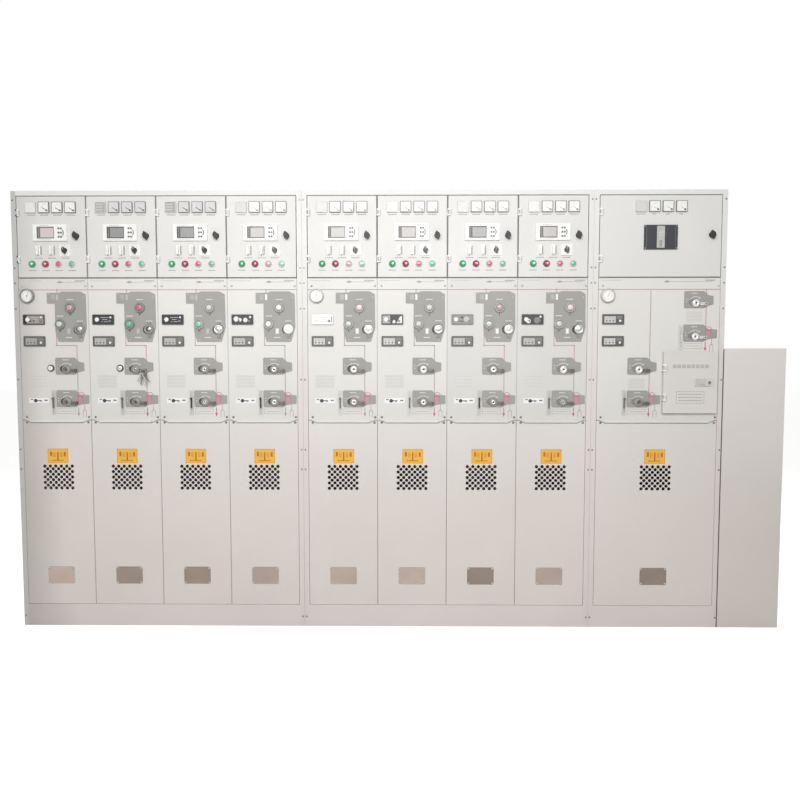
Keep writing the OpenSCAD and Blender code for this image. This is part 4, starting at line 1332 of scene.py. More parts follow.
class MechanismFront(UnitPart):
    """Front of one switch unit's mechanism panel."""

    ARROW: Point = (206.0, 304.0)
    sizes = MechanismSizes()

    def at(self, across: float, height: float, proud: float = 0.0) -> Vector:
        """Point on the panel, from millimetres off the left seam, the floor and the panel."""
        return self.plan.spot(self.unit, across, height, proud)

    def plate(self, marks: Mould, low: Point, high: Point, proud: float, thick: float, finish: Finish,
              bevel: float = 0.0) -> None:
        """Add an upright plate from its left foot to its right head corner, in millimetres."""
        marks.block(self.at(*low, proud + thick), self.at(*high, proud - marks.SINK), finish, bevel)

    def line(self, marks: Mould, points: Sequence[Point], width: float, finish: Finish,
             proud: float = 0.0) -> None:
        """Add a printed line through corners, in millimetres."""
        marks.path([self.at(x, z, proud) for x, z in points], width, marks.PRINT, finish)

    def patch(self, marks: Mould, corners: Sequence[Point], thick: float, finish: Finish,
              proud: float = 0.0) -> None:
        """Add a flat patch of any outline, in millimetres."""
        marks.prism([self.at(x, z, proud) for x, z in corners], thick, finish)

    def build(self) -> None:
        """Add the mimic diagram, indicator faces, labels and hardware."""
        name = f"unit_{self.unit.number}"
        mimic = Mould(f"{name}_mimic", "root")
        self.header(mimic)
        self.mimic(mimic)
        self.labels(mimic)
        mimic.place()
        faces = Mould(f"{name}_faces", "root")
        self.fault_face(faces)
        self.voltage_face(faces, self.sizes.voltage_z)
        self.gauge(faces)
        faces.place()
        controls = Mould(f"{name}_controls", "root", "control_steel")
        self.controls(controls)
        self.screws(controls)
        controls.place()

    def header(self, marks: Mould) -> None:
        """Add the print of the strip along the panel's head.

        Args:
            marks: piece to add to.
        """
        tip, end = self.ARROW
        marks.text_bars(self.at(70, 1889), 110, 5, 12, PALETTE.faint_ink)
        self.line(marks, [(tip + 20, 1882), (end + 40, 1882)], 2, PALETTE.grey_ink)
        arrow = [(tip, 1882), (tip + 18, 1889), (tip + 38, 1882), (tip + 18, 1876)]
        self.patch(marks, arrow, marks.PRINT, PALETTE.grey_ink)
        marks.text_bars(self.at(end + 28, 1889), 54, 6, 6, PALETTE.grey_ink)

    def mimic(self, marks: Mould) -> None:
        """Add the one-line diagram between the plates.

        Args:
            marks: piece to add to.
        """
        s = self.sizes
        width = self.unit.span
        ink = self.look.line
        self.line(marks, [(2, s.bus_z), (width - 2, s.bus_z)], s.line_w, ink)
        self.line(marks, [(208, s.bus_z), (208, 1825)], s.line_w, ink)
        marks.disc(self.at(208, s.bus_z), 5, 0.4, ink, 16)
        self.line(marks, [(198, 1622), (198, 1543), (s.feeder_x, 1543), (s.feeder_x, 1430)], s.line_w, ink)
        self.line(marks, [(s.feeder_x, 1426), (s.feeder_x, 1240)], s.line_w, PALETTE.line_grey)
        self.earth_marks(marks, s.switch_x, s.earthing_z)
        self.plate_marks(marks, s.switch_x, s.disconnector_z)
        self.plate_marks(marks, s.switch_x, s.earthing_z)
        self.breaker_marks(marks)

    def earth_marks(self, marks: Mould, left: float, foot: float) -> None:
        """Add the earthing symbol and its pink arcs about an earthing plate's nose.

        Args:
            marks: piece to add to.
            left: left edge of the earthing plate in millimetres.
            foot: foot of the earthing plate in millimetres.
        """
        s = self.sizes
        ink = self.look.line
        line_x = left + 118
        wash = [(-3, 72), (14, 66), (30, 58), (30, 26), (12, 20), (-3, 18)]
        outline = [(line_x + x, foot + z) for x, z in reversed(wash)]
        self.patch(marks, outline, 0.15, PALETTE.blush, s.plate_t)
        self.line(marks, [(line_x, foot + 74), (line_x, foot + 24)], 3.5, PALETTE.pink, s.plate_t)
        self.line(marks, [(line_x, foot + 58), (line_x + 26, foot + 58), (line_x + 26, foot + 28)], 3,
                  PALETTE.pink, s.plate_t)
        marks.arc(self.at(line_x + 4, foot + 40, s.plate_t), 17, -60, 60, 3, 0.25, ink)
        marks.arc(self.at(line_x + 14, foot + 60), 20, 10, 120, 3, 0.25, PALETTE.pink)
        arrow = PALETTE.grey_ink if self.unit.number in PLAIN_ARROWS else PALETTE.pink
        self.line(marks, [(line_x, foot - 4), (line_x, foot - 30)], 4.4, arrow)
        self.patch(marks, [(line_x - 8, foot - 32), (line_x + 8, foot - 32), (line_x, foot - 52)], 0.3, arrow)
        earth_x = line_x + 33
        self.line(marks, [(earth_x, foot + 14), (earth_x, foot - 16)], 2.6, ink)
        fork = [(-9, -52), (-9, -24), (-4, -16), (4, -16), (9, -24), (9, -52)]
        self.line(marks, [(earth_x + x, foot + z) for x, z in fork], 2.4, PALETTE.line_grey)
        box = [(left + 4, foot - 10), (left + 4, foot - 36), (left + 100, foot - 36),
               (left + 100, foot - 10), (left + 4, foot - 10)]
        self.line(marks, box, 1.6, PALETTE.line_grey)
        self.line(marks, [(left + 14, foot - 23), (left + 90, foot - 23)], 2, ink)

    def plate_marks(self, marks: Mould, left: float, foot: float) -> None:
        """Add the white travel marks of a switch plate and the painted shadow to the left of its socket.

        Args:
            marks: piece to add to.
            left: left edge of the plate in millimetres.
            foot: foot of the plate in millimetres.
        """
        s = self.sizes
        hub = self.at(left + s.socket_at[0], foot + s.socket_at[1], s.plate_t)
        marks.arc(hub, 33, 48, 150, 2.6, 0.25, PALETTE.white_ink)
        for turn in (48, 150):
            way = heading(turn)
            marks.bar(hub + way * 30, hub + way * 39, 2.6, 0.25, PALETTE.white_ink)
        marks.text_bars(self.at(left + 55, foot + 79, s.plate_t), 34, 4, 4, PALETTE.white_ink)
        # Painted shadow: a disc peeking out left of the socket, dark in the first units and grey further
        # right.
        shade = PALETTE.dark if self.unit.number in SHADOWED_SOCKETS else PALETTE.bezel
        marks.disc(self.at(left + s.socket_at[0] - 17, foot + s.socket_at[1] + 3, s.plate_t), 19, 0.5,
                   shade, 28)
        for row in range(2):
            marks.disc(self.at(left + 12, foot + 34 + 14 * row, s.plate_t), 2.4, 0.3, PALETTE.white_ink, 12)

    def breaker_marks(self, marks: Mould) -> None:
        """Add the marks and windows of the breaker plate.

        Args:
            marks: piece to add to.
        """
        s = self.sizes
        dim = self.unit.number in DARK_UNITS
        flag = PALETTE.panel_mid if dim else PALETTE.card
        self.plate(marks, (176, 1787), (197, 1815), s.plate_t, 0.8, PALETTE.guard, 0.2)
        self.plate(marks, (204, 1786), (215, 1816), s.plate_t, 0.8, flag, 0.2)
        self.plate(marks, (258, 1604), (277, 1636), s.plate_t, 0.8,
                   PALETTE.guard if dim else PALETTE.guide, 0.2)
        self.plate(marks, (261, 1608), (274, 1632), s.plate_t + 0.8, 0.4, flag)
        for spot in (s.close_at, s.open_at, s.charging_at):
            marks.text_bars(self.at(spot[0], spot[1] + 44, s.plate_t), 36, 4.5, 4, PALETTE.white_ink)
        marks.text_bars(self.at(267, 1586, s.plate_t), 36, 4.5, 4, PALETTE.white_ink)
        for x, z in ((163, 1818), (350, 1800), (222, 1572), (332, 1572)):
            marks.disc(self.at(x, z, s.plate_t), 3, 1, PALETTE.guide, 14)

    def labels(self, marks: Mould) -> None:
        """Add the etched label and the white key label.

        Args:
            marks: piece to add to.
        """
        # The etched label takes a darker copy of the panel paint; on the first unit it carries that panel's
        # painted shade.
        etched = PALETTE.panel_left_shade if self.unit.number == 1 else PALETTE.panel_shade_and_label
        self.plate(marks, (40, 1315), (143, 1384), 0, 0.3, etched)
        for row in range(4):
            self.line(marks, [(46, 1377 - 18 * row), (137, 1377 - 18 * row)], 2, PALETTE.faint_ink, 0.3)
        self.plate(marks, (39, 1232), (147, 1260), 0, 0.5, PALETTE.label)
        marks.disc(self.at(74, 1245, 0.5), 10, 0.3, PALETTE.ink, 20)
        self.line(marks, [(80, 1245), (106, 1245)], 4.6, PALETTE.ink, 0.5)
        self.line(marks, [(98, 1245), (98, 1239)], 2.6, PALETTE.ink, 0.5)
        self.line(marks, [(104, 1245), (104, 1239)], 2.6, PALETTE.ink, 0.5)
        marks.text_bars(self.at(54, 1252, 0.5), 14, 6, 2, PALETTE.ink)
        marks.text_bars(self.at(131, 1247, 0.5), 18, 7, 2, PALETTE.ink)

    def fault_face(self, marks: Mould) -> None:
        """Add the face of the upper indicator.

        Args:
            marks: piece to add to.
        """
        s = self.sizes
        x, z = s.indicator_x, s.fault_z
        face = self.look.face
        if face is FaultFace.TWIN:
            self.voltage_face(marks, s.fault_z)
            return
        base = {FaultFace.GREY: PALETTE.brown_face, FaultFace.PALE: PALETTE.white,
                FaultFace.CLOUDY: PALETTE.collar, FaultFace.DARK: PALETTE.slate}
        self.plate(marks, (x - 53, z - 22), (x + 53, z + 22), s.case_proud, 0.4, base.get(face, PALETTE.case))
        ball = [(0, 0), (12, 0), (11, 1.6), (7, 2.6), (0, 3)]
        marks.turned(self.at(x - 34, z, s.lens_proud), ball, PALETTE.white, 24)
        if face in (FaultFace.GREY, FaultFace.DARK, FaultFace.PALE):
            self.fault_print(marks)
        # Painted reflections: the glare discs and patches below stand for light reflected in the indicator's
        # window.
        if face is FaultFace.GREY:
            self.plate(marks, (x - 53, z - 22), (x - 38, z + 22), s.face_proud, 0.3, PALETTE.black)
        elif face is FaultFace.PALE:
            self.plate(marks, (x + 48, z - 18), (x + 52, z + 16), s.face_proud, 0.3, PALETTE.bezel)
        elif face is FaultFace.GLARE:
            for across, rise, radius in ((-33, 3, 14), (-14, -2, 10), (16, -3, 12), (42, 13, 6)):
                marks.disc(self.at(x + across, z + rise, s.case_proud + 0.2), radius, 0.7, PALETTE.glare, 24)
        elif face is FaultFace.HAZY:
            marks.disc(self.at(x - 22, z - 9, s.lens_proud), 12, 0.5, PALETTE.glare, 24)
            marks.disc(self.at(x + 24, z - 5, s.lens_proud), 17, 0.4, PALETTE.bezel, 24)
            marks.disc(self.at(x + 42, z + 14, s.lens_proud), 6, 0.6, PALETTE.glare, 20)
        elif face is FaultFace.SPLIT:
            self.plate(marks, (x - 53, z - 21), (x - 12, z + 21), s.face_proud, 0.3, PALETTE.panel_face)
            corners = [(x + 22, z - 20), (x + 52, z - 20), (x + 52, z + 20), (x + 40, z + 14)]
            self.patch(marks, corners, 0.3, PALETTE.glare, s.face_proud)
            marks.disc(self.at(x + 8, z - 12, s.lens_proud), 9, 0.5, PALETTE.glare, 20)
        elif face is FaultFace.CLOUDY:
            for rise in (10, -10):
                corners = [(x - 14, z + rise), (x + 4, z + rise - 6), (x + 4, z + rise + 6)]
                self.patch(marks, corners, 0.3, PALETTE.dark, s.face_proud)
            marks.disc(self.at(x + 22, z + 1, s.lens_proud), 15, 0.5, PALETTE.panel_mid, 24)

    def fault_print(self, marks: Mould) -> None:
        """Add the printed bars and lamps of an upper indicator.

        Args:
            marks: piece to add to.
        """
        s = self.sizes
        x, z = s.indicator_x, s.fault_z
        for row, (width, count) in enumerate(((44, 5), (26, 4), (36, 5))):
            spot = self.at(x + 8, z + 11 - 11 * row, s.face_proud)
            marks.text_bars(spot, width, 3.2, count, PALETTE.faint_ink)
        marks.disc(self.at(x + 40, z + 12, s.lens_proud), 5, 1.6, PALETTE.white, 18)
        marks.disc(self.at(x + 40, z - 9, s.lens_proud), 4, 1.6, PALETTE.bezel, 18)

    def voltage_face(self, marks: Mould, z: float) -> None:
        """Add the face of a voltage indicator.

        Args:
            marks: piece to add to.
            z: height of its middle in millimetres.
        """
        s = self.sizes
        x = s.indicator_x
        self.plate(marks, (x - 53, z - 22), (x + 53, z + 22), s.case_proud, 0.4,
                   PALETTE.rim_dark if self.look.face is FaultFace.TWIN else PALETTE.monitor)
        self.plate(marks, (x - 47, z - 18), (x + 13, z + 16), s.face_proud, 0.4, self.look.glass)
        self.plate(marks, (x + 18, z + 2), (x + 49, z + 18), s.face_proud, 0.3, PALETTE.monitor_dark)
        for column in range(3):
            marks.text_bars(self.at(x - 36 + 18 * column, z + 3, s.glass_proud), 12, 4, 2, PALETTE.grey_ink)
        marks.text_bars(self.at(x - 18, z + 11.5, s.glass_proud), 52, 3, 8, PALETTE.grey_ink)

    def gauge(self, marks: Mould) -> None:
        """Add the dial of the pressure gauge, where the unit has one.

        Args:
            marks: piece to add to.
        """
        if self.unit.number not in GROUP_HEADS:
            return
        s = self.sizes
        hub = self.at(*s.gauge_at, s.gauge_dial)
        marks.disc(hub, 30.5, 0.4, PALETTE.white, 40)
        face = hub + mm(0, -0.4, 0)
        marks.arc(face, 25, -40, 220, 1.4, 0.15, PALETTE.faint_ink, 32)
        for step in range(14):
            way = heading(-40 + 20 * step)
            marks.bar(face + way * 20, face + way * 24, 1, 0.15, PALETTE.faint_ink)
        tip = heading(68)
        lift = mm(0, -1.2, 0)
        marks.bar(face + lift - tip * 8, face + lift + tip * 20, 1.4, 0.4, PALETTE.grey_ink)

    def shutter(self, marks: Mould, left: float, foot: float, bright: float) -> None:
        """Add the collar, the face and the bore of one operating socket, with a dark disc of painted shade at
        the bottom of the bore.

        Args:
            marks: piece to add to.
            left: left edge of the switch plate in millimetres.
            foot: foot of the switch plate in millimetres.
            bright: radius of the bright face in millimetres, 0 for a dull one.
        """
        s = self.sizes
        hub = self.at(left + s.socket_at[0], foot + s.socket_at[1], s.plate_t)
        face = min(bright or s.dull_r, s.socket_r)
        rim = PALETTE.chrome if bright > 19 else PALETTE.collar
        marks.turned(hub, [(face, 12.4), (s.socket_r, 12.4), (24.4, 3.4)], rim, 32)
        marks.turned(hub, [(4.8, 10.2), (5.2, 12.7), (face, 12.7),
                           (face, 12.2)], PALETTE.chrome if bright else PALETTE.hasp, 32)
        # Painted shade at the bottom of the bore.
        marks.disc(hub + mm(0, -10.2, 0), 5.4, 0.3, PALETTE.dark, 18)
        hasp = self.at(left + s.socket_at[0] + 50, foot + s.socket_at[1] - 6, s.plate_t + 14)
        marks.disc(hasp, 4, 0.4, PALETTE.dark, 18)

    def controls(self, marks: Mould) -> None:
        """Add the domed button caps and socket details.

        Args:
            marks: piece to add to.
        """
        s = self.sizes
        for spot, cap in ((s.close_at, self.look.close_cap), (s.open_at, self.look.open_cap)):
            dome = [(14.3, 9), (14.3, 15), (13, 16.6), (9.5, 17.9), (5, 18.5), (0, 18.6)]
            marks.turned(self.at(*spot, s.plate_t), dome, cap, 28)
            tab = self.at(spot[0], spot[1] - 33, s.plate_t + 5)
            marks.bar(tab + mm(0, 0, 4), tab - mm(0, 0, 2), 5, 0.3, PALETTE.dark)
        self.charging(marks)
        self.shutter(marks, s.switch_x, s.disconnector_z, self.look.bright[0])
        self.shutter(marks, s.switch_x, s.earthing_z, self.look.bright[1])

    def charging(self, marks: Mould) -> None:
        """Add the shell and the domed cap of the spring charging socket, with a disc of painted shadow to its
        left. The shaded sockets get a dark disc of painted shade in the mouth and a small silver dome right
        of centre instead of the cap.

        Args:
            marks: piece to add to.
        """
        s = self.sizes
        hub = self.at(*s.charging_at, s.plate_t)
        # Painted shadow: a dark disc peeking out left of the shell.
        marks.disc(hub + mm(-12, 0, -2), 23, 0.6, PALETTE.dark, 32)
        marks.disc(hub + mm(0, 0, -34), 9, 6.6, PALETTE.collar, 20)
        shell = [(12.4, 10), (13.4, 18.3), (22.3, 18.3), (27.3, 5.4)]
        marks.turned(hub, shell, self.look.charging, 36)
        if self.unit.number not in SHADED_SOCKETS:
            dome = [(15, 18.2), (12, 19.6), (6, 20.6), (0, 20.9)]
            marks.turned(hub, dome, self.look.charging, 28)
            return
        # Painted shade in the socket's mouth.
        marks.disc(hub + mm(0, -12.4, 0), 12.4, 0.4, PALETTE.dark, 24)
        wide = 11 if self.unit.number == 1 else 8
        dome = [(wide, 18.4), (wide * 0.8, 19.6), (wide * 0.4, 20.4), (0, 20.6)]
        marks.turned(hub + mm(6, 0, 2), dome, PALETTE.silver, 28)

    def screws(self, marks: Mould) -> None:
        """Add the screws in the corners of the panel.

        Args:
            marks: piece to add to.
        """
        width = self.unit.span
        for x in (24, width - 12):
            for z, finish in ((1861, PALETTE.display), (1156, PALETTE.bolt)):
                marks.screw(self.at(x, z), 4.6, finish)


class AccessFront(MechanismFront):
    """Front of the wide access unit, with two switch pairs and the access door."""

    ARROW = (346, 566)
    LEFT_X = 163
    RIGHT_X = 458
    UPPER_Z = 1741

    def mimic(self, marks: Mould) -> None:
        """Add the one-line diagram of the access unit.

        Args:
            marks: piece to add to.
        """
        s = self.sizes
        width = self.unit.span
        ink = self.look.line
        self.line(marks, [(2, s.bus_z), (576, s.bus_z), (576, 1590)], s.line_w, PALETTE.line_pink)
        self.line(marks, [(582, s.bus_z), (width - 2, s.bus_z)], s.line_w, ink)
        self.line(marks, [(281, s.bus_z - 6), (281, 1240)], s.line_w, ink)
        self.earth_marks(marks, self.LEFT_X, s.earthing_z)
        self.earth_marks(marks, self.RIGHT_X, s.breaker_z)
        for left, foot in ((self.LEFT_X, s.disconnector_z), (self.LEFT_X, s.earthing_z),
                           (self.RIGHT_X, self.UPPER_Z), (self.RIGHT_X, s.breaker_z)):
            self.plate_marks(marks, left, foot)

    def labels(self, marks: Mould) -> None:
        """Add the blank labels of the access unit.

        Args:
            marks: piece to add to.
        """
        for low, high in (((471, 1668), (556, 1727)), ((170, 1310), (258, 1367))):
            self.plate(marks, low, high, 0, 0.3, PALETTE.panel_shade_and_label)
            for row in range(3):
                z = high[1] - 12 - 18 * row
                self.line(marks, [(low[0] + 8, z), (high[0] - 8, z)], 2, PALETTE.faint_ink, 0.3)

    def controls(self, marks: Mould) -> None:
        """Add the socket details of the four switch plates.

        Args:
            marks: piece to add to.
        """
        s = self.sizes
        face, dull = self.look.bright
        for left, foot, bright in ((self.LEFT_X, s.disconnector_z, face), (self.LEFT_X, s.earthing_z, dull),
                                   (self.RIGHT_X, self.UPPER_Z, face), (self.RIGHT_X, s.breaker_z, face)):
            self.shutter(marks, left, foot, bright)

    def leaf(self) -> None:
        """Add the blank label and the lock's key slot of the access door."""
        marks = Mould("access_door_marks", "access_leaf")
        for z in (1438, 1431, 1424):
            marks.text_bars(self.at(494, z, 20), 196, 3.8, 8, PALETTE.grey_ink)
        label = [(420, 1234), (568, 1234), (568, 1296), (420, 1296), (420, 1234)]
        self.line(marks, label, 1.8, PALETTE.grey_ink, 20)
        for row in range(3):
            marks.text_bars(self.at(494, 1282 - 17 * row, 20), 128, 4, 11, PALETTE.grey_ink)
        plug = self.at(592, 1344.2, 27)
        marks.disc(plug, 9, 0.4, PALETTE.bezel, 24)
        half = mm(0.8, 0.5, 3.5)
        marks.slab(plug, half, PALETTE.dark)
        marks.place()


class MechanismRow:
    """CAD nodes that run along all mechanism panels."""

    sizes = MechanismSizes()

    def __init__(self, plan: RowPlan) -> None:
        """Remember the plan."""
        self.plan = plan

    def zone(self, unit: Unit, at: Point, half: Point, proud: Point, finish: Finish) -> Region:
        """Box on a panel, from its middle, half sizes and nearest and furthest distance in millimetres."""
        return Region(self.plan.spot(unit, at[0] - half[0], at[1] - half[1], proud[1]),
                      self.plan.spot(unit, at[0] + half[0], at[1] + half[1], proud[0]), finish)

    def dress(self) -> None:
        """Paint the plates and controls."""
        s = self.sizes
        units = self.plan.units
        # Painted shade: the first panel darkens towards the row's left end, and units 7 and 8 take the shaded
        # copy of the panel paint.
        tones = {1: PALETTE.panel_left_shade, 7: PALETTE.panel_shade_and_label, 8: PALETTE.panel_shade_and_label}
        regions = [self.zone(units[number - 1], (187.5, 1500), (187.5, 600), (-30, 30), tone)
                   for number, tone in tones.items()]
        dress("mechanism_panels", PALETTE.panel, regions)
        dress("access_panel", PALETTE.panel)
        for node in ("breaker_plates", "disconnector_plates", "earthing_plates"):
            dress(node, PALETTE.plate)
        caps = [self.zone(unit, spot, (34, 48), (-0.1, 24), PALETTE.collar)
                for unit in units[:2] for spot in (s.close_at, s.open_at)]
        for unit in units[:8]:
            for spot in (s.close_at, s.open_at):
                caps.append(self.zone(unit, spot, (15, 15), (9.1, 24), PALETTE.display))
        dress("breaker_buttons", PALETTE.guard, caps)
        dress("key_locks", PALETTE.hasp)
        self.sockets()
        self.levers()
        self.gauges()
        self.indicators()
        paddle = self.zone(units[8], (548, 1344.2), (23, 21), (22.5, 40), PALETTE.guide)
        dress("access_door_lock", PALETTE.display, [paddle])
        # Painted shade: the hinges at the row's left end take the black case finish.
        low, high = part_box("door_hinges")
        edge = Vector((units[0].seam + 11 * MM, high.y, high.z))
        dress("door_hinges", PALETTE.hinge, [Region(low, edge, PALETTE.case)])
        dress("access_door", PALETTE.leaf)

    def sockets(self) -> None:
        """Paint the sockets bright, and their hasps and tabs dull."""
        s = self.sizes
        tabs = []
        hasps = []
        for unit in self.plan.units:
            places = [(s.switch_x, s.disconnector_z), (s.switch_x, s.earthing_z)]
            if unit.number == ACCESS:
                places = [(AccessFront.LEFT_X, s.disconnector_z), (AccessFront.LEFT_X, s.earthing_z),
                          (AccessFront.RIGHT_X, AccessFront.UPPER_Z), (AccessFront.RIGHT_X, s.breaker_z)]
            else:
                x, z = s.charging_at
                tabs.append(self.zone(unit, (x, z + 33), (11, 10), (3.05, 12), PALETTE.collar))
                tabs.append(self.zone(unit, (x, z - 36), (9, 12), (3.05, 12), PALETTE.collar))
            for left, foot in places:
                middle = (left + s.socket_at[0] + 42, foot + s.socket_at[1] - 6)
                finish = PALETTE.display if left == AccessFront.RIGHT_X else PALETTE.hasp
                hasps.append(self.zone(unit, middle, (20, 10.5), (3.05, 20), finish))
        dress("charging_sockets", PALETTE.steel, tabs)
        dress("operating_sockets", PALETTE.steel, hasps)

    def levers(self) -> None:
        """Paint the guide plates light and the levers in their units' tones."""
        s = self.sizes
        regions = []
        for unit in self.plan.units:
            places = [(s.switch_x, s.earthing_z)]
            if unit.number == ACCESS:
                places = [(AccessFront.LEFT_X, s.earthing_z), (AccessFront.RIGHT_X, s.breaker_z)]
            for left, foot in places:
                middle = (left - 15, foot + 24)
                pale = left == AccessFront.RIGHT_X
                plain = PALETTE.black if unit.number in BLACK_LEVERS else PALETTE.rim_pale
                lever = PALETTE.display if pale else plain
                guide = PALETTE.display if pale or unit.number in PALE_GUIDES else PALETTE.guide
                regions.append(self.zone(unit, middle, (14, 74), (3.1, 40), lever))
                regions.append(self.zone(unit, middle, (12, 70), (-0.1, 3.1), guide))
                regions.append(self.zone(unit, middle, (3.7, 53), (1.5, 2.95), PALETTE.dark))
        dress("interlock_levers", PALETTE.black, regions)

    def gauges(self) -> None:
        """Paint the gauges' rims and dials."""
        s = self.sizes
        regions = [self.zone(unit, s.gauge_at, (31, 31), (9.9, 10.1), PALETTE.card)
                   for unit in self.plan.units if unit.number in GROUP_HEADS]
        first = self.zone(self.plan.units[0], s.gauge_at, (40, 40), (-0.1, 20), PALETTE.collar)
        dress("pressure_gauges", PALETTE.guide, [first, *regions])

    def indicators(self) -> None:
        """Paint the cases of the indicators."""
        s = self.sizes
        cases = {FaultFace.PALE: PALETTE.white, FaultFace.CLOUDY: PALETTE.bezel,
                 FaultFace.TWIN: PALETTE.rim_dark}
        regions = []
        for unit in self.plan.units:
            upper = cases.get(LOOKS[unit.number - 1].face, PALETTE.case)
            for z, finish in ((s.fault_z, upper), (s.voltage_z, PALETTE.rim_dark)):
                regions.append(self.zone(unit, (s.indicator_x, z), (57, 26), (-0.1, 14), finish))
                plain = finish is not PALETTE.rim_dark
                for i in range(3):
                    lamp = PALETTE.white if plain and i == 0 else finish
                    spot = (s.indicator_x - 36 + 18 * i, z - 8)
                    regions.append(self.zone(unit, spot, (4.5, 4.5), (6.05, 14), lamp))
                button = PALETTE.bezel if plain else PALETTE.white
                spot = (s.indicator_x + 36, z - 8)
                regions.append(self.zone(unit, spot, (6.5, 6.5), (6.05, 14), button))
        dress("panel_indicators", PALETTE.monitor_dark, regions)

    def keys(self) -> None:
        """Add the key locks' bright barrels and the bunch of keys that hangs in the second unit's hasp."""
        unit = self.plan.units[1]
        marks = Mould("key_bunch", "root", "control_steel")
        for owner, finish in zip(self.plan.units, (PALETTE.white, PALETTE.silver)):
            barrel = self.plan.spot(owner, 166, 1421, 12.4)
            marks.turned(barrel, [(13, 0), (11, 1.6), (0, 2.2)], finish, 24)
            marks.bar(barrel + mm(0, -1.9, -4), barrel + mm(0, -1.9, 4), 1.6, 0.5, PALETTE.bezel)
        hub = self.plan.spot(unit, 297, 1402, 19)
        marks.arc(hub, 14, 0, 360, 2.2, 2.2, PALETTE.steel, 24)
        for i, (lean, long) in enumerate(((-34, 44), (-12, 54), (10, 56), (30, 46))):
            way = heading(270 + lean)
            top = hub + way * 13 + mm(0, 1.5 - 1.5 * i, 0)
            finish = PALETTE.hasp if i % 2 else PALETTE.steel
            marks.disc(top + way * 8, 10, 1.4, finish, 20)
            marks.bar(top + way * 14, top + way * long, 6, 1.4, finish)
            for step in range(3):
                tooth = top + way * (long - 4 - 6 * step) + mm(3, 0, 0)
                marks.disc(tooth, 1.8, 1.7, PALETTE.zinc, 8)
        marks.place()


@dataclass(frozen=True)
class CoverSizes:
    """Places on a cable cover in millimetres above the floor."""

    sign_w: float = 114.0
    sign_h: float = 80.0
    sign_z: float = 944.0
    sign_shifts: tuple[float, ...] = (-1, 3.5, 3.5, 3.5, 3.5, 3.5, 3.5, 3.5, -5)
    window_w: float = 146.0
    window_h: float = 96.0
    window_z: float = 283.0
    screw_z: float = 1127.0


class CableCover(UnitPart):
    """One cable compartment cover."""

    sizes = CoverSizes()

    def build(self) -> None:
        """Add the yellow plate, the window's edge and the screws."""
        s = self.sizes
        middle = self.unit.span / 2
        marks = Mould(f"cover_{self.unit.number}_marks", "root")
        self.sign(marks, middle + s.sign_shifts[self.unit.number - 1])
        window = self.plan.spot(self.unit, middle, s.window_z)
        marks.ring_plate(window, (s.window_w + 3, s.window_h + 3), 11, 3, 0.6, PALETTE.gasket)
        for x in (-1, 1):
            for z in (-1, 1):
                corner = self.plan.spot(self.unit, middle + x * (s.window_w / 2 - 8),
                                        s.window_z + z * (s.window_h / 2 - 8))
                marks.screw(corner, 4.2, PALETTE.display)
        for x in (24, self.unit.span - 16):
            marks.screw(self.plan.spot(self.unit, x, s.screw_z), 5, PALETTE.bolt)
        marks.place()

    def sign(self, marks: Mould, middle: float) -> None:
        """Add the yellow plate with its border, bars and rivets.

        Args:
            marks: piece to add to.
            middle: middle of the plate in millimetres from the left seam.
        """
        s = self.sizes

        def spot(x: float, z: float, proud: float) -> Vector:
            """Point on the plate, from millimetres off its middle and the cover."""
            return self.plan.spot(self.unit, middle + x, s.sign_z + z, proud)

        half_w, half_h = s.sign_w / 2, s.sign_h / 2
        marks.block(spot(-half_w, -half_h, 1.2), spot(half_w, half_h, -0.05), PALETTE.sign, 0.4)
        rim = [(-1, -1), (1, -1), (1, 1), (-1, 1), (-1, -1)]
        marks.path([spot(x * (half_w - 4), z * (half_h - 4), 1.2) for x, z in rim], 1.6, 0.2,
                   PALETTE.sign_pale)
        for x, foot, head, wide in ((-37, 4, 17, 11), (0, -20, 17, 8), (38, 2, 15, 11)):
            marks.path([spot(x, foot, 1.2), spot(x, head, 1.2)], wide, 0.2, PALETTE.sign_mark)
        for x in (-19, 18):
            marks.path([spot(x, 0, 1.2), spot(x, 12, 1.2)], 14, 0.15, PALETTE.sign_pale)
        marks.text_bars(spot(-2, -25, 1.2), 66, 5, 5, PALETTE.sign_mark)
        for x in (-1, 1):
            for z in (-1, 1):
                marks.turned(spot(x * (half_w - 8), z * (half_h - 8), 1.2),
                             [(0, 0), (2.6, 0), (2.2, 0.9), (0, 1.3)], PALETTE.zinc, 14)


@dataclass(frozen=True)
class FrameSizes:
    """Rows of screws, insets and seals of the cabinet in millimetres."""

    bolt_rows: tuple[float, ...] = (2316, 1957, 1876, 1740, 1359, 979, 871, 54)
    bolt_in: float = 17.4
    bolt_r: float = 3.7
    sheet_rows: tuple[float, ...] = (180, 604, 1028, 1452, 1876, 2300)
    rear_in: float = 14.0
    side_in: float = 16.0
    box_rows: tuple[float, ...] = (90, 425, 760, 1095, 1430)
    box_in: float = 18.0
    screw_r: float = 4.8
    seal_half: float = 1.8
    seal_near: float = 3.0
    seal_far: float = 26.0
    seam_half: float = 1.9
    tab_up: float = 95.0
    tab_drop: float = 86.0
    tab_half: float = 20.0


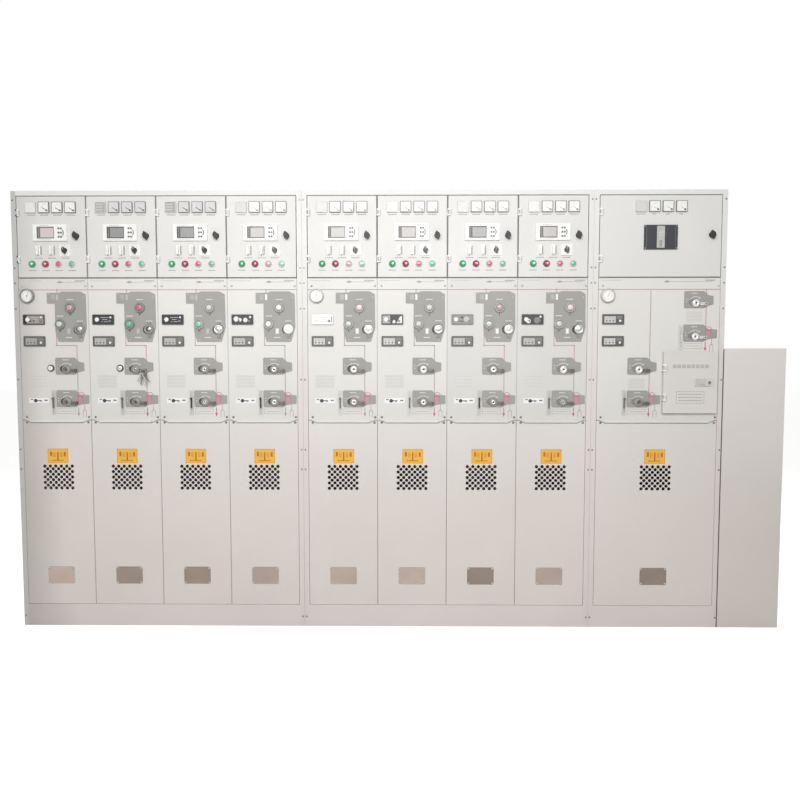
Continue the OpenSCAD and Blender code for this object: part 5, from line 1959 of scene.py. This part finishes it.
class CabinetFrame:
    """Posts, rails, outer sheets, plinth, tanks and end box."""

    sizes = FrameSizes()

    def __init__(self, plan: RowPlan) -> None:
        """Remember the plan."""
        self.plan = plan

    def dress(self) -> None:
        """Paint the CAD nodes of the cabinet."""
        for node in ("top_rails", "roof_panels", "side_panels", "rear_panels", "mullions"):
            dress(node, PALETTE.frame)
        dress("plinth_skirts", PALETTE.plinth)
        for node in ("lv_shelves", "lv_partitions", "lv_back_plates"):
            dress(node, PALETTE.inner)
        for node in ("end_box_panels", "end_box_side", "end_box_top"):
            dress(node, PALETTE.end_box)
        low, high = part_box("frame_posts")
        outer = Region(low, Vector((self.plan.units[0].seam, high.y, high.z)), PALETTE.shade)
        dress("frame_posts", PALETTE.frame, [outer])
        # Painted shade on the first cover, darker towards the row's left end.
        low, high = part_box("cable_covers")
        corner = Vector((self.plan.units[0].right, high.y, high.z))
        dress("cable_covers", PALETTE.cover, [Region(low, corner, PALETTE.cover_left_shade)])
        # Painted reflections: each unit's inspection glass takes its own tint.
        low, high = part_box("cover_windows")
        glass = [WindowGlass(f"window_glass_{i}", look.window) for i, look in enumerate(LOOKS, 1)]
        panes = [Region(Vector((unit.seam, low.y - MM, low.z - MM)),
                        Vector((unit.right, high.y + MM, high.z + MM)), pane)
                 for unit, pane in zip(self.plan.units, glass)]
        dress("cover_windows", glass[0], panes[1:])
        dress("gas_tanks", PALETTE.tank)

    def build(self) -> None:
        """Add the bolts of the posts and the screws of the outer sheets."""
        self.post_bolts()
        self.rear_screws()
        self.side_screws()
        self.seals()
        self.end_box_screws()

    def post_bolts(self) -> None:
        """Add the bolts in the posts at the ends of the groups."""
        marks = Mould("post_bolts", "root", "control_steel")
        units = self.plan.units
        inset = self.sizes.bolt_in * MM
        spots = [units[0].seam - inset, units[8].right + inset]
        for left, right in ((units[3], units[4]), (units[7], units[8])):
            spots.extend((left.right + inset, right.seam - inset))
        for x in spots:
            for z in self.sizes.bolt_rows:
                marks.hex_bolt(Vector((x, self.plan.front, z * MM)), self.sizes.bolt_r, PALETTE.bolt)
        marks.place()

    def rear_screws(self) -> None:
        """Add the screws along the edges of the rear covers."""
        marks = Mould("rear_screws", "root", "control_steel")
        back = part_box("rear_panels")[1].y
        s = self.sizes
        for unit in self.plan.units:
            for x in (unit.seam + s.rear_in * MM, unit.right - s.rear_in * MM):
                for z in s.sheet_rows:
                    marks.screw(Vector((x, back, z * MM)), s.screw_r, PALETTE.zinc, Facing.REAR)
        marks.place()

    def side_screws(self) -> None:
        """Add the screws along the edges of the two end sheets."""
        marks = Mould("side_screws", "root", "control_steel")
        low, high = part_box("side_panels")
        box_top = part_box("end_box_side")[1].z
        s = self.sizes
        for x, facing in ((low.x, Facing.LEFT), (high.x, Facing.RIGHT)):
            for y in (low.y + s.side_in * MM, high.y - s.side_in * MM):
                for z in s.sheet_rows:
                    if facing is Facing.LEFT or z * MM > box_top:
                        marks.screw(Vector((x, y, z * MM)), s.screw_r, PALETTE.zinc, facing)
        marks.place()

    def seals(self) -> None:
        """Add the seals round the low-voltage doors, the strips behind the panels' feet and a dark strip of
        painted shadow in the end box's gap.
        """
        marks = Mould("door_seals", "root")
        plan = self.plan
        near, far = plan.front + self.sizes.seal_near * MM, plan.front + self.sizes.seal_far * MM
        for unit in plan.units:
            if unit.number not in GROUP_HEADS:
                self.seam_strips(marks, unit, near, far)
            for low, high in ((plan.door_foot - 5 * MM, plan.door_foot - 2 * MM),
                              (plan.door_top + 2 * MM, plan.door_top + 5 * MM)):
                marks.block(Vector((unit.seam, near, low)), Vector((unit.right, far, high)), PALETTE.seal)
            foot = plan.panel_foot
            marks.block(Vector((unit.seam + 5 * MM, plan.front + 4 * MM, foot - 8 * MM)),
                        Vector((unit.right - 5 * MM, plan.front + 10 * MM, foot + 20 * MM)), PALETTE.gasket)
        # Painted shadow: a dark strip in the gap between the row and the end box.
        low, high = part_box("end_box_panels")
        marks.block(Vector((low.x - 3 * MM, plan.front - 0.3 * MM, low.z + 2 * MM)),
                    Vector((low.x + 3 * MM, plan.front + 2 * MM, high.z - 2 * MM)), PALETTE.gap)
        marks.place()

    def seam_strips(self, marks: Mould, unit: Unit, near: float, far: float) -> None:
        """Add the strips that fill the seam at a unit's left, and the white tabs between its doors. The
        strips paint the seams' tone: painted light in the panel seams, painted shade in the cover seams.

        Args:
            marks: piece to add to.
            unit: unit at the seam's right.
            near: y of the seal's front.
            far: y of the seal's back.
        """
        s = self.sizes
        plan = self.plan
        left, right = unit.seam - s.seal_half * MM, unit.seam + s.seal_half * MM
        marks.block(Vector((left, near, plan.door_foot)), Vector((right, far, plan.door_top)), PALETTE.seal)
        low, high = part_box("cable_covers")
        # Painted light: light grey strips in the panel seams; painted shade: darker strips in the cover
        # seams.
        for foot, head, finish in ((low.z, high.z, PALETTE.seam_painted_shade),
                                   (high.z, plan.panel_top - 3 * MM, PALETTE.seam)):
            marks.block(Vector((unit.seam, plan.front, foot)) + mm(-s.seam_half, 0.8, 0),
                        Vector((unit.seam, plan.front, head)) + mm(s.seam_half, 2.4, 0), finish)
        for z in (plan.door_foot + s.tab_up * MM, plan.door_top - s.tab_drop * MM):
            marks.block(Vector((left, near - 2 * MM, z - s.tab_half * MM)),
                        Vector((right, near, z + s.tab_half * MM)), PALETTE.hinge)

    def end_box_screws(self) -> None:
        """Add the screws of the end box's side sheet."""
        marks = Mould("end_box_screws", "root", "control_steel")
        low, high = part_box("end_box_side")
        s = self.sizes
        for y in (low.y + s.box_in * MM, high.y - s.box_in * MM):
            for z in s.box_rows:
                marks.screw(Vector((high.x, y, z * MM)), s.screw_r, PALETTE.zinc, Facing.RIGHT)
        marks.place()


@dataclass(frozen=True)
class BaySizes:
    """Rail and terminals of a low-voltage compartment in millimetres."""

    levels: tuple[float, ...] = (1990, 2180)
    rail_in: float = 40.0
    rail_half: float = 17.0
    rail_deep: float = 8.0
    end_gap: float = 20.0
    pitch: float = 9.0
    terminal_w: float = 8.4
    terminal_half: float = 24.0
    terminal_deep: float = 46.0
    terminal_back: float = 7.0
    bevel: float = 1.0
    earth_every: int = 10


class LowVoltageBay(UnitPart):
    """Inside of one low-voltage compartment: mounting rails with their terminal rows."""

    sizes = BaySizes()

    def build(self) -> None:
        """Add the rails and their terminals."""
        s = self.sizes
        marks = Mould(f"bay_{self.unit.number}_terminals", "root")
        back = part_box("lv_back_plates")[0].y
        left, right = self.unit.seam + s.rail_in * MM, self.unit.right - s.rail_in * MM
        count = int((right - left - 2 * s.end_gap * MM) / (s.pitch * MM))
        for level in s.levels:
            z = level * MM
            marks.block(Vector((left, back, z)) + mm(0, -s.rail_deep, -s.rail_half),
                        Vector((right, back, z)) + mm(0, 0, s.rail_half), PALETTE.zinc, s.bevel)
            for i in range(count):
                foot = Vector((left, back, z)) + mm(s.end_gap + i * s.pitch, 0, 0)
                earth = i % s.earth_every == s.earth_every - 1
                marks.block(foot + mm(0, -s.terminal_deep, -s.terminal_half),
                            foot + mm(s.terminal_w, -s.terminal_back, s.terminal_half),
                            PALETTE.earth if earth else PALETTE.terminal, s.bevel)
        marks.place()


@dataclass(frozen=True)
class StageSizes:
    """Camera and light of the picture, in metres, degrees and watts."""

    camera_at: tuple[float, float, float] = (0.0352, -3.8603, 1.4448)
    camera_tilt: float = 86.759
    camera_pan: float = 0.493
    lens: float = 28.8
    sky: float = 0.36
    key_power: float = 136.0
    rear_power: float = 110.0
    side_power: float = 45.0
    floor_glow: float = 0.75


def background_rays(tree: bpy.types.NodeTree) -> Socket:
    """Test for the rays that see the plain background, also in metal and through glass.

    Args:
        tree: node tree to add the test to.

    Returns:
        Socket that is 1 for those rays.
    """
    path = tree.nodes.new("ShaderNodeLightPath")
    seen = path.outputs["Is Camera Ray"]
    for name in ("Is Glossy Ray", "Is Transmission Ray"):
        either = tree.nodes.new("ShaderNodeMath")
        either.operation = "MAXIMUM"
        tree.links.new(seen, either.inputs[0])
        tree.links.new(path.outputs[name], either.inputs[1])
        seen = either.outputs["Value"]
    return seen


class Stage:
    """Floor, light, sky and camera."""

    sizes = StageSizes()

    def build(self) -> None:
        """Set the stage."""
        self.floor()
        self.sky()
        self.light("key_light", (-0.2, -3.9, 2.95), (-0.3, -0.4, 1.45), (3.8, 1.8), self.sizes.key_power)
        self.light("rear_light", (0, 4.4, 2.9), (0, 0.4, 1.2), (4, 2), self.sizes.rear_power)
        for name, side in (("left", -1), ("right", 1)):
            self.light(f"side_light_{name}", (side * 4.8, 0.9, 2.2), (side * 2.1, 0.1, 1.2), (1.6, 2),
                       self.sizes.side_power)
        self.camera()

    def floor(self) -> None:
        """Add the pale floor that keeps the soft shadow."""
        data = bpy.data.meshes.new("floor")
        sheet = bmesh.new()
        bmesh.ops.create_grid(sheet, x_segments=1, y_segments=1, size=30)
        sheet.to_mesh(data)
        sheet.free()
        floor = bpy.data.objects.new("floor", data)
        bpy.context.scene.collection.objects.link(floor)
        board = ShaderBoard("look_floor")
        tree = board.tree
        grain = board.span(board.noise(4, 3), 0, 1)
        board.link(board.tint(grain, (0.52, 0.52, 0.51, 1), (0.56, 0.56, 0.55, 1)),
                   board.shader.inputs["Base Color"])
        board.set(roughness=0.9, specular_ior_level=0.1)
        glow = tree.nodes.new("ShaderNodeEmission")
        glow.inputs["Strength"].default_value = self.sizes.floor_glow
        both = tree.nodes.new("ShaderNodeAddShader")
        board.link(board.shader.outputs["BSDF"], both.inputs[0])
        board.link(glow.outputs["Emission"], both.inputs[1])
        pick = tree.nodes.new("ShaderNodeMixShader")
        board.link(background_rays(tree), pick.inputs[0])
        board.link(board.shader.outputs["BSDF"], pick.inputs[1])
        board.link(both.outputs["Shader"], pick.inputs[2])
        board.link(pick.outputs["Shader"], board.output.inputs["Surface"])
        data.materials.append(board.material)
        LOG.info("stage floor")

    def sky(self) -> None:
        """Light the scene softly from all round and show plain white behind the row."""
        world = bpy.data.worlds.new("sky")
        bpy.context.scene.world = world
        world.use_nodes = True
        tree = world.node_tree
        tree.nodes.clear()
        output = tree.nodes.new("ShaderNodeOutputWorld")
        soft = tree.nodes.new("ShaderNodeBackground")
        soft.inputs["Color"].default_value = (1, 0.99, 0.98, 1)
        soft.inputs["Strength"].default_value = self.sizes.sky
        white = tree.nodes.new("ShaderNodeBackground")
        white.inputs["Color"].default_value = (1, 1, 1, 1)
        white.inputs["Strength"].default_value = 1
        pick = tree.nodes.new("ShaderNodeMixShader")
        tree.links.new(background_rays(tree), pick.inputs[0])
        tree.links.new(soft.outputs["Background"], pick.inputs[1])
        tree.links.new(white.outputs["Background"], pick.inputs[2])
        tree.links.new(pick.outputs["Shader"], output.inputs["Surface"])
        LOG.info("stage sky")

    def light(self, name: str, at: tuple[float, float, float], aim: tuple[float, float, float],
              size: Point, power: float) -> None:
        """Add a soft area light.

        Args:
            name: name of the light.
            at: place in metres.
            aim: point that it looks at.
            size: width and height in metres.
            power: power in watts.
        """
        data = bpy.data.lights.new(name, "AREA")
        data.shape = "RECTANGLE"
        data.size, data.size_y = size
        data.energy = power
        lamp = bpy.data.objects.new(name, data)
        lamp.visible_camera = False
        lamp.location = at
        lamp.rotation_euler = (Vector(aim) - Vector(at)).to_track_quat("-Z", "Y").to_euler()
        bpy.context.scene.collection.objects.link(lamp)
        LOG.info("light %s of %.0f W", name, power)

    def camera(self) -> None:
        """Add the camera where the picture was taken from."""
        s = self.sizes
        data = bpy.data.cameras.new("camera")
        data.lens = s.lens
        data.sensor_width = 36
        camera = bpy.data.objects.new("camera", data)
        camera.location = s.camera_at
        camera.rotation_euler = (math.radians(s.camera_tilt), 0, math.radians(s.camera_pan))
        bpy.context.scene.collection.objects.link(camera)
        bpy.context.scene.camera = camera
        LOG.info("camera with a %.1f mm lens", s.lens)


def main() -> None:
    """Dress the row, add its small pieces and set the stage."""
    logging.basicConfig(level=logging.INFO, format="%(message)s")
    bpy.context.scene.view_settings.view_transform = "Standard"
    plan = RowPlan.read()
    cabinet = CabinetFrame(plan)
    cabinet.dress()
    cabinet.build()
    for unit in plan.units:
        door = LowVoltageDoor(plan, unit)
        door.dress()
        door.build()
        CableCover(plan, unit).build()
        LowVoltageBay(plan, unit).build()
    row = MechanismRow(plan)
    row.dress()
    row.keys()
    for unit in plan.units[:8]:
        MechanismFront(plan, unit).build()
    access = AccessFront(plan, plan.units[8])
    access.build()
    access.leaf()
    Stage().build()


if __name__ == "__main__":
    main()
